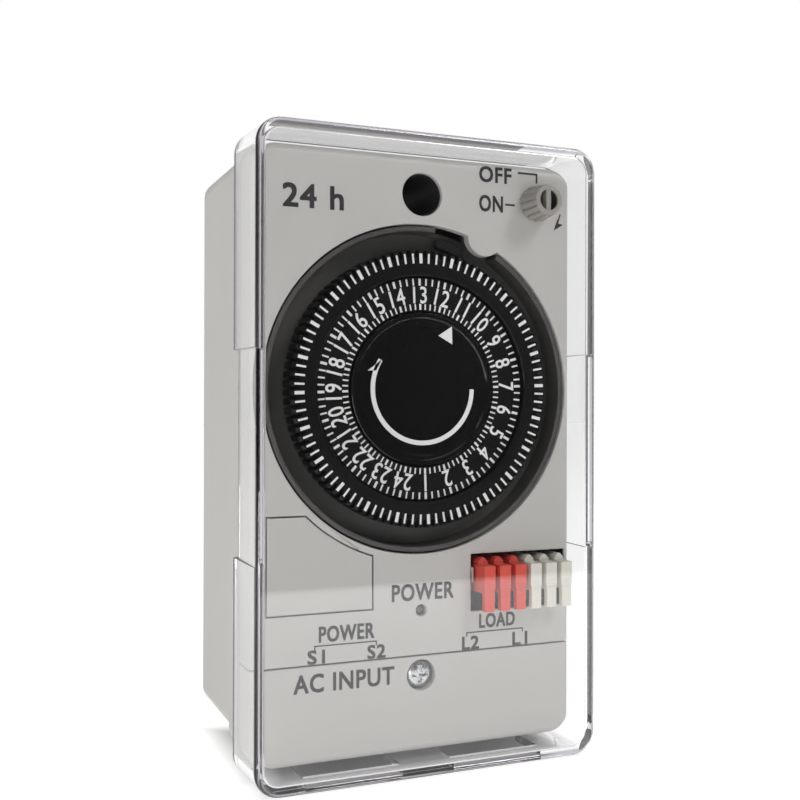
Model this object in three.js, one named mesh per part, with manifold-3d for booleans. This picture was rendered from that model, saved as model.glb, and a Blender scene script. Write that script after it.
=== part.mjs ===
import * as THREE from 'three';
import { mergeVertices } from 'three/addons/utils/BufferGeometryUtils.js';
import Module from 'manifold-3d';

// A 24-hour programmable time switch that hangs on a wall.
// Millimetres. X to the right, Z up, the front looks towards -Y.
// The origin is the centre of the rear face, which lies on the wall at y = 0.

const wasm = await Module();
wasm.setup();

// ---------- clearances ----------
const GAP = 0.3;            // between pieces that touch or are fixed together
const RUN = 0.35;           // around anything that turns or slides
const OVERCUT = 1;          // how far a cutter runs past the face it opens

// ---------- dial and face, which set the width and height ----------
const DIAL_R = 28;
const SETTER_ROOM = 5.36;   // free ring around the dial for setters plugged into its edge
const WELL_R = DIAL_R + SETTER_ROOM;
const FACE_RIM = 0.94;      // thinnest wall beside the well
const TOP_BAND = 14.15;     // well to the top of the face
const BOTTOM_BAND = 39.85;  // well to the bottom of the face
const FACE_W = 2 * (WELL_R + FACE_RIM);
const FACE_H = TOP_BAND + 2 * WELL_R + BOTTOM_BAND;
const FACE_TOP = FACE_H / 2;
const FACE_BOTTOM = -FACE_H / 2;
const DIAL_Z = FACE_TOP - TOP_BAND - WELL_R;
const CASE_CORNER = 4;

// ---------- depths, counted from the wall ----------
const DEPTH = 51.5;
const FACE_INSET = 8.2;     // cover front to face
const COVER_DEPTH = 15.5;
const COVER_FRONT_Y = -DEPTH;
const FACE_Y = COVER_FRONT_Y + FACE_INSET;
const COVER_REAR_Y = COVER_FRONT_Y + COVER_DEPTH;
const SPLIT_Y = COVER_REAR_Y + GAP;      // front rim of the rear case
const FRONT_REAR_Y = SPLIT_Y - GAP;      // rear rim of the front case

// ---------- walls ----------
const WALL = 2;
const BACK_WALL = 2.2;
const FACE_PLATE = 2;
const CASE_STEP = 0.8;      // rear case wider than the face, each side
const FLANGE = 0.75;        // rim that the cover seats against, proud of the rear case
const FLANGE_DEPTH = 1.6;
const HEEL = 2.1;           // bottom of the rear case is raised by this near the wall
const HEEL_DEPTH = 25.5;
const CORNER_STEPS = 6;     // flats along each rounded corner of the rear case
const CASE_W = FACE_W + 2 * CASE_STEP;
const CASE_RISE = 0.15;     // rear case taller than the face, each end
const CASE_H = FACE_H + 2 * CASE_RISE;

// ---------- clear cover ----------
const COVER_WALL = 1.65;
const COVER_GAP_X = 0.4;
const COVER_GAP_Z = 1;
const COVER_DRAFT = 0.55;   // each side, from front to rear
const COVER_CORNER = 5;
const COVER_EDGE = 1;       // bevel of the front edge
const SHOULDER = 0.35;      // share of the bevel at its middle step
const GRIP_H = 40.5;
const GRIP_INSET = 0.6;
const GRIP_NOTCH = 1.6;
const CABLE_W = 20;
const CABLE_X = 15.5;       // centre of each cable entry
const CABLE_DEPTH = 9;
const CABLE_EDGE = 2;       // entries in the case are narrower than in the cover, each side

// ---------- face features ----------
const MOUNT_DROP = 8.1;     // top of the face to the mounting hole
const MOUNT_R = 4.33;
const MOUNT_TUBE = 1.6;
const MOUNT_SCREW_R = 2.25;
const MOUNT_Z = FACE_TOP - MOUNT_DROP;
const KNOB_X = FACE_W / 2 - 8.2;
const KNOB_Z = FACE_TOP - 8.2;
const RACK_GAP = 2.4;       // well edge to the corner of the setter rack
const RACK_RIM = 1;
const SETTER_COUNT = 6;
const SETTER_W = 2.6;
const SETTER_PITCH = 3.62;
const SETTER_SIDE = 0.4;    // last setter to the end of the rack
const RACK_LEAD = 1.05;     // first setter to the other end of the rack
const RACK_H = 11.8;
const RACK_W = RACK_LEAD + (SETTER_COUNT - 1) * SETTER_PITCH + SETTER_W + SETTER_SIDE;
const RACK_RIGHT = FACE_W / 2 - RACK_RIM;
const RACK_LEFT = RACK_RIGHT - RACK_W;
const RACK_TOP = DIAL_Z - Math.sqrt((WELL_R + RACK_GAP) ** 2 - RACK_LEFT ** 2);
const RACK_BOTTOM = RACK_TOP - RACK_H;
const RACK_DEPTH = 6.3;
const RACK_SHELL = 1;
const RACK_TAB = { proud: 0.7, drop: 2.8, high: 3.1 };   // on the left wall of the rack
const SETTER_PROUD = 4;
const SETTER_FLAP = 1.4;    // thickness of the finger flap below the foot
const SETTER_FLAP_H = 3.6;
const SETTER_POINT = 0.7;   // tip of the head to the top of the rack
const LAMP_R = 1.2;
const LAMP_Z = RACK_BOTTOM + 1;
const PART_Z = RACK_BOTTOM - 8.1;        // joint between face and terminal cover
const LOBE_R = 4;
const LOBE_X = 14.3;
const LOBE_Z = DIAL_Z + Math.sqrt((WELL_R + 1.35) ** 2 - LOBE_X ** 2);
const LABEL_DEPTH = 0.4;
const LABEL_GAP = 1.35;     // well edge to the arc of the label panel
const LABEL_LEFT = -FACE_W / 2 + 1.8;
const LABEL_RIGHT = -10.4;
const LABEL_TOP = DIAL_Z - 24.7;
const LABEL_BOTTOM = DIAL_Z - 44;

// ---------- dial stack ----------
const DIAL_PROUD = 1.35;
const DIAL_THICK = 5.9;
const DIAL_NOTCHES = 96;
const NOTCH_DEEP = 1.5;
const DIAL_SET = -1.95 * Math.PI / 180;   // where the dial stands at rest
const NOTCH_SHARE = 0.45;   // notch width as a share of its pitch
const DIAL_Y = FACE_Y - DIAL_PROUD;
const DIAL_REAR_Y = DIAL_Y + DIAL_THICK;
const RING_INNER = 15.8;
const RING_OUTER = 22.5;
const RING_THICK = 0.8;
const RING_Y = FACE_Y - 0.33;
const DISC_R = 15.4;
const DISC_PROUD = 0.4;
const PLATE_THICK = 1.2;
const CUP_WALL = 1;
const CUP_R = WELL_R - RUN;
const CUP_RIM_Y = FACE_Y + 0.4;
const CUP_FLOOR_Y = DIAL_REAR_Y + 0.75;
const CUP_REAR_Y = CUP_FLOOR_Y + PLATE_THICK;
const SPINDLE_R = 2.5;
const BUSH_WALL = 1.6;
const BUSH_FLANGE = 1.8;
const BUSH_FLANGE_THICK = 0.5;

// ---------- gear train ----------
const MODULE = 0.8;
const DIAL_TEETH = 60;
const PINION_TEETH = 12;
const MIDDLE_TEETH = 48;
const ADDENDUM = 0.8;        // tooth above the pitch circle, in modules
const DEDENDUM = 1.15;
const ROOT_SHARE = 0.52;    // tooth width as a share of the pitch
const TIP_SHARE = 0.24;
const GEAR_THICK = 2;
const GEAR_Y = CUP_REAR_Y + GAP + BUSH_FLANGE_THICK + 0.5;
const MIDDLE_GEAR_Y = GEAR_Y + GEAR_THICK + 1.9;
const MIDDLE_GEAR_THICK = 1.5;
const GEAR_PLATE_Y = MIDDLE_GEAR_Y + MIDDLE_GEAR_THICK + 2.8;
const GEAR_PLATE_THICK = 1.2;
const GEAR_PLATE_HALF = WELL_R - 3.86;
const MIDDLE_Z = DIAL_Z - MODULE * (DIAL_TEETH + PINION_TEETH) / 2;
const MOTOR_REACH = MODULE * (MIDDLE_TEETH + PINION_TEETH) / 2;
const MOTOR_TURN = Math.PI / 4;          // direction from the middle axle, up and to the left
const MOTOR_X = -MOTOR_REACH * Math.sin(MOTOR_TURN);
const MOTOR_Z = MIDDLE_Z + MOTOR_REACH * Math.cos(MOTOR_TURN);
const MOTOR_R = 11;
const MOTOR_LONG = 12;
const AXLE_R = 1;
const PILLAR_R = 2;

// ---------- trip lever ----------
const TRIP_REACH = 9.3;
const TRIP_ANGLE = 1.062 * Math.PI;
const TRIP_HUB_R = 2.3;
const TRIP_TIP_R = 0.9;
const TRIP_THICK = 1.6;

// ---------- knob, cam and switch ----------
const KNOB_BASE_R = 3.8;
const KNOB_TIP_R = 3.2;
const KNOB_LONG = 5.6;
const KNOB_FLUTES = 14;
const KNOB_FLUTE_DEEP = 0.3;
const KNOB_BORE_R = 2.15;
const KNOB_BORE_DEEP = 2.2;
const KNOB_BAR = 1.1;
const SHAFT_R = 1.5;
const CAM_R = 3.4;
const CAM_LOBE_R = 4.1;
const CAM_Y = SPLIT_Y + 3;
const CAM_THICK = 4;
const LEVER_GAP = 0.6;      // cam lobe to lever at rest
const LEVER_THICK = 0.6;
const LEVER_W = 3;
const LEVER_LONG = 13;
const SWITCH_W = 14;
const SWITCH_H = 11;
const SWITCH_D = 7;
const PLUNGER_R = 0.9;
const PLUNGER_SHOW = 1.6;
const BEARING_WALL = 1.6;

// ---------- board and terminals ----------
const BOARD_THICK = 1.6;
const BOARD_LIFT = 3.8;
const BOARD_HALF = 26.5;
const BOARD_FOOT = 3.6;     // above the joint between face and terminal cover
const BOARD_RISE = 28;      // above the dial centre
const TERMINAL_X = [-22.3, -9.7, 11, 22.8];
const TERMINAL_SCREW_R = 2.9;
const TERMINAL_PLATE = 8.4;
const WIRE_GAP = 2.1;       // plate to screw head, open for a wire
const COVER_SCREW_DROP = 3.97;
const COVER_SCREW_R = 2.75;
const COVER_SCREW_Z = PART_Z - COVER_SCREW_DROP;
const POST_R = 2.6;
const SCREW_R = 1.4;
const SCREW_HEAD_R = 2.4;
const POSTS = [
  { x: -12.5, z: FACE_TOP - 4.55 },
  { x: 12.5, z: FACE_TOP - 4.55 },
  { x: -FACE_W / 2 + 3.9, z: PART_Z + 3.8 },
  { x: FACE_W / 2 - 3.9, z: PART_Z + 3.8 },
];

// ---------- finishes ----------
const finish = (color, roughness, metalness = 0) => ({ color, roughness, metalness });
const GREY_ABS = finish(0xc3c1bc, 0.6);
const BLACK_PLASTIC = finish(0x17171a, 0.45);
const GLOSS_BLACK = finish(0x0b0b0d, 0.12);
const CLEAR = finish(0xeef2f4, 0.05);
const RED = finish(0xb23a32, 0.45);
const IVORY = finish(0xe6e2d6, 0.45);
const WHITE_PLASTIC = finish(0xe8e6e0, 0.5);
const STEEL = finish(0xaeb0b2, 0.3, 1);
const BRASS = finish(0xb9934a, 0.35, 1);
const BOARD_GREEN = finish(0x2f6b45, 0.5);
const LAMP_RED = finish(0x9c1f1a, 0.2);
const FOIL_BLUE = finish(0x24406e, 0.4);

// ---------- shapes to solids ----------
function solid(geometry) {
  const bare = geometry.clone();
  bare.deleteAttribute('normal');
  bare.deleteAttribute('uv');
  const merged = mergeVertices(bare, 1e-4);
  return new wasm.Manifold(new wasm.Mesh({
    numProp: 3,
    vertProperties: new Float32Array(merged.attributes.position.array),
    triVerts: new Uint32Array(merged.index.array),
  }));
}

function join(first, ...others) {
  return others.reduce((sum, one) => sum.add(one), first);
}

function cut(body, ...cutters) {
  return cutters.reduce((rest, one) => rest.subtract(one), body);
}

function block(x0, x1, y0, y1, z0, z1) {
  const geometry = new THREE.BoxGeometry(x1 - x0, y1 - y0, z1 - z0);
  geometry.translate((x0 + x1) / 2, (y0 + y1) / 2, (z0 + z1) / 2);
  return solid(geometry);
}

// A round bar along Y.
function rod(x, z, r, y0, y1, sides = 20) {
  const geometry = new THREE.CylinderGeometry(r, r, y1 - y0, sides);
  geometry.translate(x, (y0 + y1) / 2, z);
  return solid(geometry);
}

// A flat outline in X and Z, made thick from y0 to y1.
function slab(shape, y0, y1, curveSegments = 8) {
  const options = { depth: y1 - y0, bevelEnabled: false, curveSegments };
  const geometry = new THREE.ExtrudeGeometry(shape, options);
  geometry.rotateX(Math.PI / 2);
  geometry.translate(0, y1, 0);
  return solid(geometry);
}

function roundedOutline(x0, x1, z0, z1, topR, bottomR = topR) {
  const shape = new THREE.Shape();
  shape.moveTo(x0 + bottomR, z0);
  shape.lineTo(x1 - bottomR, z0);
  if (bottomR > 0) shape.absarc(x1 - bottomR, z0 + bottomR, bottomR, -Math.PI / 2, 0);
  shape.lineTo(x1, z1 - topR);
  if (topR > 0) shape.absarc(x1 - topR, z1 - topR, topR, 0, Math.PI / 2);
  shape.lineTo(x0 + topR, z1);
  if (topR > 0) shape.absarc(x0 + topR, z1 - topR, topR, Math.PI / 2, Math.PI);
  shape.lineTo(x0, z0 + bottomR);
  if (bottomR > 0) shape.absarc(x0 + bottomR, z0 + bottomR, bottomR, Math.PI, 1.5 * Math.PI);
  return shape;
}

function geometryOf(manifold) {
  const made = manifold.getMesh();
  const indexed = new THREE.BufferGeometry();
  indexed.setAttribute('position', new THREE.BufferAttribute(made.vertProperties, 3));
  indexed.setIndex(new THREE.BufferAttribute(made.triVerts, 1));
  const faceted = indexed.toNonIndexed();
  faceted.computeVertexNormals();
  return faceted;
}

const timer = new THREE.Group();
timer.name = 'programmable_timer';

function addPiece(name, shape, look, group = timer) {
  const mesh = new THREE.Mesh(geometryOf(shape), new THREE.MeshStandardMaterial(look));
  mesh.name = name;
  group.add(mesh);
  return mesh;
}

function addGroup(x, z) {
  const group = new THREE.Group();
  group.position.set(x, 0, z);
  timer.add(group);
  return group;
}

// ---------- rear case ----------
function rearCase() {
  const half = CASE_W / 2;
  const top = CASE_H / 2;
  const outline = (inset, bottom) => roundedOutline(
    -half + inset, half - inset, bottom + inset, top - inset, CASE_CORNER - inset,
  );
  const front = slab(outline(0, -top), SPLIT_Y, -HEEL_DEPTH, CORNER_STEPS);
  const heel = slab(outline(0, -top + HEEL), -HEEL_DEPTH, 0, CORNER_STEPS);
  const rim = slab(outline(-FLANGE, -top), SPLIT_Y, SPLIT_Y + FLANGE_DEPTH, CORNER_STEPS);
  const frontHollow = slab(outline(WALL, -top), SPLIT_Y - OVERCUT, -HEEL_DEPTH - WALL, CORNER_STEPS);
  const heelHollow = slab(outline(WALL, -top + HEEL), SPLIT_Y - OVERCUT, -BACK_WALL, CORNER_STEPS);
  const rackRoom = block(
    RACK_LEFT - RACK_SHELL - GAP, RACK_RIGHT + RACK_RIM / 2 + GAP,
    SPLIT_Y - OVERCUT, FACE_Y + RACK_DEPTH + RACK_SHELL + GAP / 2,
    RACK_BOTTOM - RACK_SHELL - GAP, RACK_TOP + RACK_SHELL + GAP,
  );
  let body = cut(join(front, heel, rim), frontHollow, heelHollow, rackRoom);
  const bay = block(-half + 1, half - 1, SPLIT_Y, -BACK_WALL / 2, PART_Z + GAP, PART_Z + GAP + WALL);
  body = join(body, bay);
  const tube = rod(0, MOUNT_Z, MOUNT_R + MOUNT_TUBE, SPLIT_Y, -BACK_WALL / 2, 32);
  const tubeBore = rod(0, MOUNT_Z, MOUNT_R, SPLIT_Y - OVERCUT, -BACK_WALL, 32);
  const tubeScrew = rod(0, MOUNT_Z, MOUNT_SCREW_R, -BACK_WALL - OVERCUT, OVERCUT, 20);
  body = cut(join(body, tube), tubeBore, tubeScrew);
  for (const post of POSTS) {
    const column = rod(post.x, post.z, POST_R + GAP, SPLIT_Y, -BACK_WALL / 2);
    const foot = rod(post.x, post.z, SCREW_HEAD_R + 1.6, -6, 0);
    const bore = rod(post.x, post.z, SCREW_R + GAP, SPLIT_Y - OVERCUT, OVERCUT, 16);
    const sink = rod(post.x, post.z, SCREW_HEAD_R + GAP, -3, OVERCUT);
    body = cut(join(body, column, foot), bore, sink);
  }
  const coverPost = rod(0, COVER_SCREW_Z, POST_R + GAP, SPLIT_Y, -BACK_WALL / 2);
  const coverPostBore = rod(0, COVER_SCREW_Z, SCREW_R + GAP, SPLIT_Y - OVERCUT, SPLIT_Y + 14, 16);
  body = cut(join(body, coverPost), coverPostBore);
  const bearing = rod(KNOB_X, KNOB_Z, SHAFT_R + BEARING_WALL, CAM_Y + CAM_THICK + 2, -BACK_WALL / 2);
  const bearingBore = rod(KNOB_X, KNOB_Z, SHAFT_R + RUN, CAM_Y + CAM_THICK, CAM_Y + CAM_THICK + 7, 16);
  body = cut(join(body, bearing), bearingBore);
  for (const side of [-1, 1]) {
    const x0 = side * CABLE_X - CABLE_W / 2;
    const entry = block(
      x0 + CABLE_EDGE, x0 + CABLE_W - CABLE_EDGE, SPLIT_Y - OVERCUT, -HEEL_DEPTH - WALL,
      -top - OVERCUT, -top + WALL + OVERCUT,
    );
    const slotZ = -top + HEEL + WALL + 2.9;
    const screwSlot = rod(side * CABLE_X, slotZ, MOUNT_SCREW_R, -BACK_WALL - OVERCUT, OVERCUT, 20);
    body = cut(body, entry, screwSlot);
    for (const z of [PART_Z + GAP + WALL + 6, DIAL_Z + 24]) {
      body = join(body, rod(side * 22, z, 2.2, -BOARD_LIFT - BACK_WALL + GAP, -BACK_WALL / 2, 16));
    }
  }
  return body;
}
addPiece('rear_case', rearCase(), GREY_ABS);

// ---------- front case with well, setter rack and label panel ----------
function labelOutline(inset) {
  const arcR = WELL_R + LABEL_GAP + inset;
  const left = LABEL_LEFT + inset;
  const right = LABEL_RIGHT - inset;
  const top = LABEL_TOP - inset;
  const bottom = LABEL_BOTTOM + inset;
  const drop = top - DIAL_Z;
  const fromAngle = Math.atan2(drop, -Math.sqrt(arcR ** 2 - drop ** 2));
  const toAngle = Math.atan2(-Math.sqrt(arcR ** 2 - right ** 2), right);
  const shape = new THREE.Shape();
  shape.moveTo(left, bottom);
  shape.lineTo(right, bottom);
  shape.absarc(0, DIAL_Z, arcR, toAngle, fromAngle, true);
  shape.lineTo(left, top);
  return shape;
}

function frontCase() {
  const half = FACE_W / 2;
  const low = PART_Z + GAP / 2;
  const outer = roundedOutline(-half, half, low, FACE_TOP, CASE_CORNER, 0);
  const inner = roundedOutline(
    -half + WALL, half - WALL, low + WALL, FACE_TOP - WALL, CASE_CORNER - WALL, 0,
  );
  let body = slab(outer, FACE_Y, FRONT_REAR_Y);
  body = cut(body, slab(inner, FACE_Y + FACE_PLATE, FRONT_REAR_Y + OVERCUT));
  for (const post of POSTS) {
    body = join(body, rod(post.x, post.z, POST_R, FACE_Y + FACE_PLATE / 2, FRONT_REAR_Y));
  }
  const rackShell = block(
    RACK_LEFT - RACK_SHELL, RACK_RIGHT + RACK_RIM / 2, FACE_Y + FACE_PLATE / 2,
    FACE_Y + RACK_DEPTH + RACK_SHELL, RACK_BOTTOM - RACK_SHELL, RACK_TOP + RACK_SHELL,
  );
  body = join(body, rackShell);
  const well = rod(0, DIAL_Z, WELL_R, FACE_Y - OVERCUT, FRONT_REAR_Y + OVERCUT, 72);
  const lobe = rod(LOBE_X, LOBE_Z, LOBE_R, FACE_Y, FACE_Y + FACE_PLATE, 32);
  body = join(cut(body, well), lobe);
  const rack = block(
    RACK_LEFT, RACK_RIGHT, FACE_Y - OVERCUT, FACE_Y + RACK_DEPTH, RACK_BOTTOM, RACK_TOP,
  );
  const tab = block(
    RACK_LEFT - RACK_SHELL / 2, RACK_LEFT + RACK_TAB.proud, FACE_Y, FACE_Y + FACE_PLATE,
    RACK_TOP - RACK_TAB.drop - RACK_TAB.high, RACK_TOP - RACK_TAB.drop,
  );
  body = join(cut(body, rack), tab);
  body = cut(
    body,
    rod(0, MOUNT_Z, MOUNT_R, FACE_Y - OVERCUT, FRONT_REAR_Y + OVERCUT, 32),
    rod(KNOB_X, KNOB_Z, SHAFT_R + RUN, FACE_Y - OVERCUT, FRONT_REAR_Y + OVERCUT),
    rod(0, LAMP_Z, LAMP_R, FACE_Y - OVERCUT, FACE_Y + FACE_PLATE + OVERCUT, 16),
    rod(LOBE_X, LOBE_Z, AXLE_R + RUN, FACE_Y + 0.8, FACE_Y + FACE_PLATE + OVERCUT, 16),
    slab(labelOutline(0), FACE_Y - OVERCUT, FACE_Y + LABEL_DEPTH, 12),
  );
  for (const post of POSTS) {
    body = cut(body, rod(post.x, post.z, SCREW_R + GAP, FACE_Y + FACE_PLATE, FRONT_REAR_Y + OVERCUT, 16));
  }
  return body;
}
addPiece('front_case', frontCase(), GREY_ABS);

const labelPlate = slab(labelOutline(GAP), FACE_Y + 0.05, FACE_Y + LABEL_DEPTH - 0.1, 12);
addPiece('label_plate', labelPlate, GREY_ABS);

// ---------- terminal cover and its screw ----------
function terminalCover() {
  const half = FACE_W / 2;
  const high = PART_Z - GAP / 2;
  const outer = roundedOutline(-half, half, FACE_BOTTOM, high, 0, CASE_CORNER);
  const inner = roundedOutline(
    -half + WALL, half - WALL, FACE_BOTTOM + WALL, high - WALL, 0, CASE_CORNER - WALL,
  );
  let body = slab(outer, FACE_Y, FRONT_REAR_Y);
  body = cut(body, slab(inner, FACE_Y + FACE_PLATE, FRONT_REAR_Y + OVERCUT));
  const boss = rod(0, COVER_SCREW_Z, COVER_SCREW_R + 0.75, FACE_Y + 1, FACE_Y + 4.4);
  const sink = rod(0, COVER_SCREW_Z, COVER_SCREW_R + RUN, FACE_Y - OVERCUT, FACE_Y + 2.6);
  const bore = rod(0, COVER_SCREW_Z, SCREW_R + GAP, FACE_Y, FACE_Y + 6, 16);
  body = cut(join(body, boss), sink, bore);
  for (const side of [-1, 1]) {
    const x0 = side * CABLE_X - CABLE_W / 2;
    body = cut(body, block(
      x0 + CABLE_EDGE, x0 + CABLE_W - CABLE_EDGE, FACE_Y + FACE_PLATE + 1.5, FRONT_REAR_Y + OVERCUT,
      FACE_BOTTOM - OVERCUT, FACE_BOTTOM + WALL + OVERCUT,
    ));
  }
  return body;
}
addPiece('terminal_cover', terminalCover(), GREY_ABS);

// A screw along Y whose head looks to the front (-1) or to the wall (1).
function screw(headR, headY, headThick, tipY, slotted = false) {
  const facing = Math.sign(headY - tipY);
  const under = headY - facing * headThick;
  const head = rod(0, 0, headR, Math.min(headY, under), Math.max(headY, under), 16);
  const root = headY - facing * headThick * 0.8;
  const shank = rod(0, 0, SCREW_R, Math.min(tipY, root), Math.max(tipY, root), 10);
  const deep = headY - facing * headThick * 0.6;
  const [y0, y1] = [Math.min(deep, headY + facing), Math.max(deep, headY + facing)];
  const reach = headR * (slotted ? 1.2 : 0.6);
  const slot = block(-reach, reach, y0, y1, -0.35, 0.35);
  const cross = block(-0.35, 0.35, y0, y1, -reach, reach);
  return slotted ? cut(join(head, shank), slot) : cut(join(head, shank), slot, cross);
}
addPiece(
  'terminal_cover_screw', screw(COVER_SCREW_R, FACE_Y + 0.6, 1.7, SPLIT_Y + 12), STEEL,
  addGroup(0, COVER_SCREW_Z),
);
POSTS.forEach((post, i) => {
  const caseScrew = screw(SCREW_HEAD_R, -0.8, 1.9, FACE_Y + FACE_PLATE + 0.6);
  addPiece(`case_screw_${i + 1}`, caseScrew, STEEL, addGroup(post.x, post.z));
});

// ---------- clear cover ----------
// A slab whose outline grows by the draft from the front to the rear rim.
function drafted(outline, y0, y1) {
  const options = { depth: y1 - y0, bevelEnabled: false, curveSegments: 8 };
  const geometry = new THREE.ExtrudeGeometry(outline, options);
  geometry.rotateX(Math.PI / 2);
  geometry.translate(0, y1, 0);
  const spots = geometry.attributes.position;
  for (let i = 0; i < spots.count; i += 1) {
    const grow = COVER_DRAFT * (spots.getY(i) - COVER_FRONT_Y) / COVER_DEPTH;
    spots.setX(i, spots.getX(i) + Math.sign(spots.getX(i)) * grow);
    spots.setZ(i, spots.getZ(i) + Math.sign(spots.getZ(i)) * grow);
  }
  return solid(geometry);
}

function clearCover() {
  const halfX = FACE_W / 2 + COVER_GAP_X + COVER_WALL;
  const halfZ = FACE_H / 2 + COVER_GAP_Z + COVER_WALL;
  const box = (inset, r) => roundedOutline(-halfX + inset, halfX - inset, -halfZ + inset, halfZ - inset, r);
  const skin = drafted(box(0, COVER_CORNER), COVER_FRONT_Y + COVER_EDGE, COVER_REAR_Y);
  const front = slab(box(COVER_EDGE, COVER_CORNER - COVER_EDGE), COVER_FRONT_Y, COVER_FRONT_Y + 2);
  const shoulderIn = COVER_EDGE * SHOULDER;
  const shoulder = slab(
    box(shoulderIn, COVER_CORNER - shoulderIn), COVER_FRONT_Y + shoulderIn, COVER_FRONT_Y + 2,
  );
  const innerBox = box(COVER_WALL, COVER_CORNER - COVER_WALL);
  const inside = drafted(innerBox, COVER_FRONT_Y + COVER_WALL, COVER_REAR_Y);
  const clearOut = slab(
    box(COVER_WALL - COVER_DRAFT, COVER_CORNER - COVER_WALL), COVER_REAR_Y - 0.01, COVER_REAR_Y + OVERCUT,
  );
  let body = cut(join(skin, front, shoulder), inside, clearOut);
  for (const side of [-1, 1]) {
    const x0 = side * CABLE_X - CABLE_W / 2;
    const outerX = side * (halfX + COVER_DRAFT);
    const [dentA, dentB] = [outerX - side * (GRIP_INSET + COVER_DRAFT), outerX + side * OVERCUT];
    const dent = block(
      Math.min(dentA, dentB), Math.max(dentA, dentB), COVER_FRONT_Y + 1.6, COVER_REAR_Y + OVERCUT,
      -GRIP_H / 2, GRIP_H / 2,
    );
    const [notchA, notchB] = [outerX - side * (COVER_WALL + 1), outerX + side * OVERCUT];
    const notch = block(
      Math.min(notchA, notchB), Math.max(notchA, notchB), COVER_REAR_Y - GRIP_NOTCH, COVER_REAR_Y + OVERCUT,
      -GRIP_H / 2, GRIP_H / 2,
    );
    const entry = block(
      x0, x0 + CABLE_W, COVER_REAR_Y - CABLE_DEPTH, COVER_REAR_Y + OVERCUT,
      -halfZ - COVER_DRAFT - OVERCUT, -halfZ + COVER_WALL + OVERCUT,
    );
    body = cut(body, dent, notch, entry);
  }
  return body;
}
addPiece('clear_cover', clearCover(), CLEAR);

// ---------- movement plate, bush and dial ----------
function movementPlate() {
  let body = rod(0, DIAL_Z, CUP_R, CUP_RIM_Y, CUP_REAR_Y, 72);
  body = cut(body, rod(0, DIAL_Z, CUP_R - CUP_WALL, CUP_RIM_Y - OVERCUT, CUP_FLOOR_Y, 72));
  const ear = rod(LOBE_X, LOBE_Z, 3, CUP_FLOOR_Y, CUP_REAR_Y);
  const window = rod(LOBE_X, LOBE_Z, TRIP_REACH + 2, CUP_RIM_Y - OVERCUT, CUP_FLOOR_Y - GAP);
  const pinBore = rod(LOBE_X, LOBE_Z, AXLE_R + RUN, CUP_FLOOR_Y - OVERCUT, CUP_REAR_Y + OVERCUT, 16);
  const bushSeatR = SPINDLE_R + RUN + BUSH_WALL + GAP;
  const bushBore = rod(0, DIAL_Z, bushSeatR, CUP_FLOOR_Y - OVERCUT, CUP_REAR_Y + OVERCUT);
  const axleBore = rod(0, MIDDLE_Z, AXLE_R + RUN, CUP_FLOOR_Y - OVERCUT, CUP_REAR_Y + OVERCUT, 16);
  return cut(join(body, ear), window, pinBore, bushBore, axleBore);
}
addPiece('movement_plate', movementPlate(), BLACK_PLASTIC);

const dialGroup = addGroup(0, DIAL_Z);
const bushR = SPINDLE_R + RUN + BUSH_WALL;
const bush = cut(
  join(
    rod(0, 0, bushR, DIAL_REAR_Y + GAP, CUP_REAR_Y + GAP + BUSH_FLANGE_THICK),
    rod(0, 0, bushR + BUSH_FLANGE, CUP_REAR_Y + GAP, CUP_REAR_Y + GAP + BUSH_FLANGE_THICK),
  ),
  rod(0, 0, SPINDLE_R + RUN, DIAL_REAR_Y - OVERCUT, CUP_REAR_Y + 3),
);
addPiece('dial_bush', bush, BRASS, dialGroup);

// A toothed outline with straight flanks, narrow enough to run with backlash.
function toothedOutline(teeth, rootR, tipR, rootShare, tipShare, turn = 0) {
  const shape = new THREE.Shape();
  const pitch = 2 * Math.PI / teeth;
  const spot = (r, a) => [r * Math.cos(a), r * Math.sin(a)];
  for (let i = 0; i < teeth; i += 1) {
    const middle = i * pitch + turn;
    const points = [
      spot(rootR, middle - rootShare * pitch / 2),
      spot(tipR, middle - tipShare * pitch / 2),
      spot(tipR, middle + tipShare * pitch / 2),
      spot(rootR, middle + rootShare * pitch / 2),
    ];
    for (const [k, [x, z]] of points.entries()) {
      if (i === 0 && k === 0) shape.moveTo(x, z);
      else shape.lineTo(x, z);
    }
  }
  return shape;
}

function programDial() {
  const edge = toothedOutline(
    DIAL_NOTCHES, DIAL_R - NOTCH_DEEP, DIAL_R, 1 - NOTCH_SHARE, 1 - NOTCH_SHARE, -DIAL_SET,
  );
  const rim = slab(edge, DIAL_Y, DIAL_REAR_Y);
  const ringBed = rod(0, 0, RING_OUTER + GAP, DIAL_Y - OVERCUT, RING_Y + RING_THICK + GAP, 48);
  const hub = rod(0, 0, SPINDLE_R + GAP, RING_Y + 2.4, DIAL_REAR_Y + OVERCUT);
  return cut(rim, ringBed, hub);
}
addPiece('program_dial', programDial(), BLACK_PLASTIC, dialGroup);

const numberRing = cut(
  rod(0, 0, RING_OUTER, RING_Y, RING_Y + RING_THICK, 48),
  rod(0, 0, RING_INNER, RING_Y - OVERCUT, RING_Y + RING_THICK + OVERCUT, 36),
);
addPiece('number_ring', numberRing, BLACK_PLASTIC, dialGroup);

const centreDisc = rod(0, 0, DISC_R, RING_Y - DISC_PROUD, RING_Y + RING_THICK, 48);
addPiece('centre_disc', centreDisc, GLOSS_BLACK, dialGroup);
addPiece('dial_spindle', rod(0, 0, SPINDLE_R, RING_Y + 2.7, GEAR_Y + GEAR_THICK + 0.5), STEEL, dialGroup);

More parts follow.
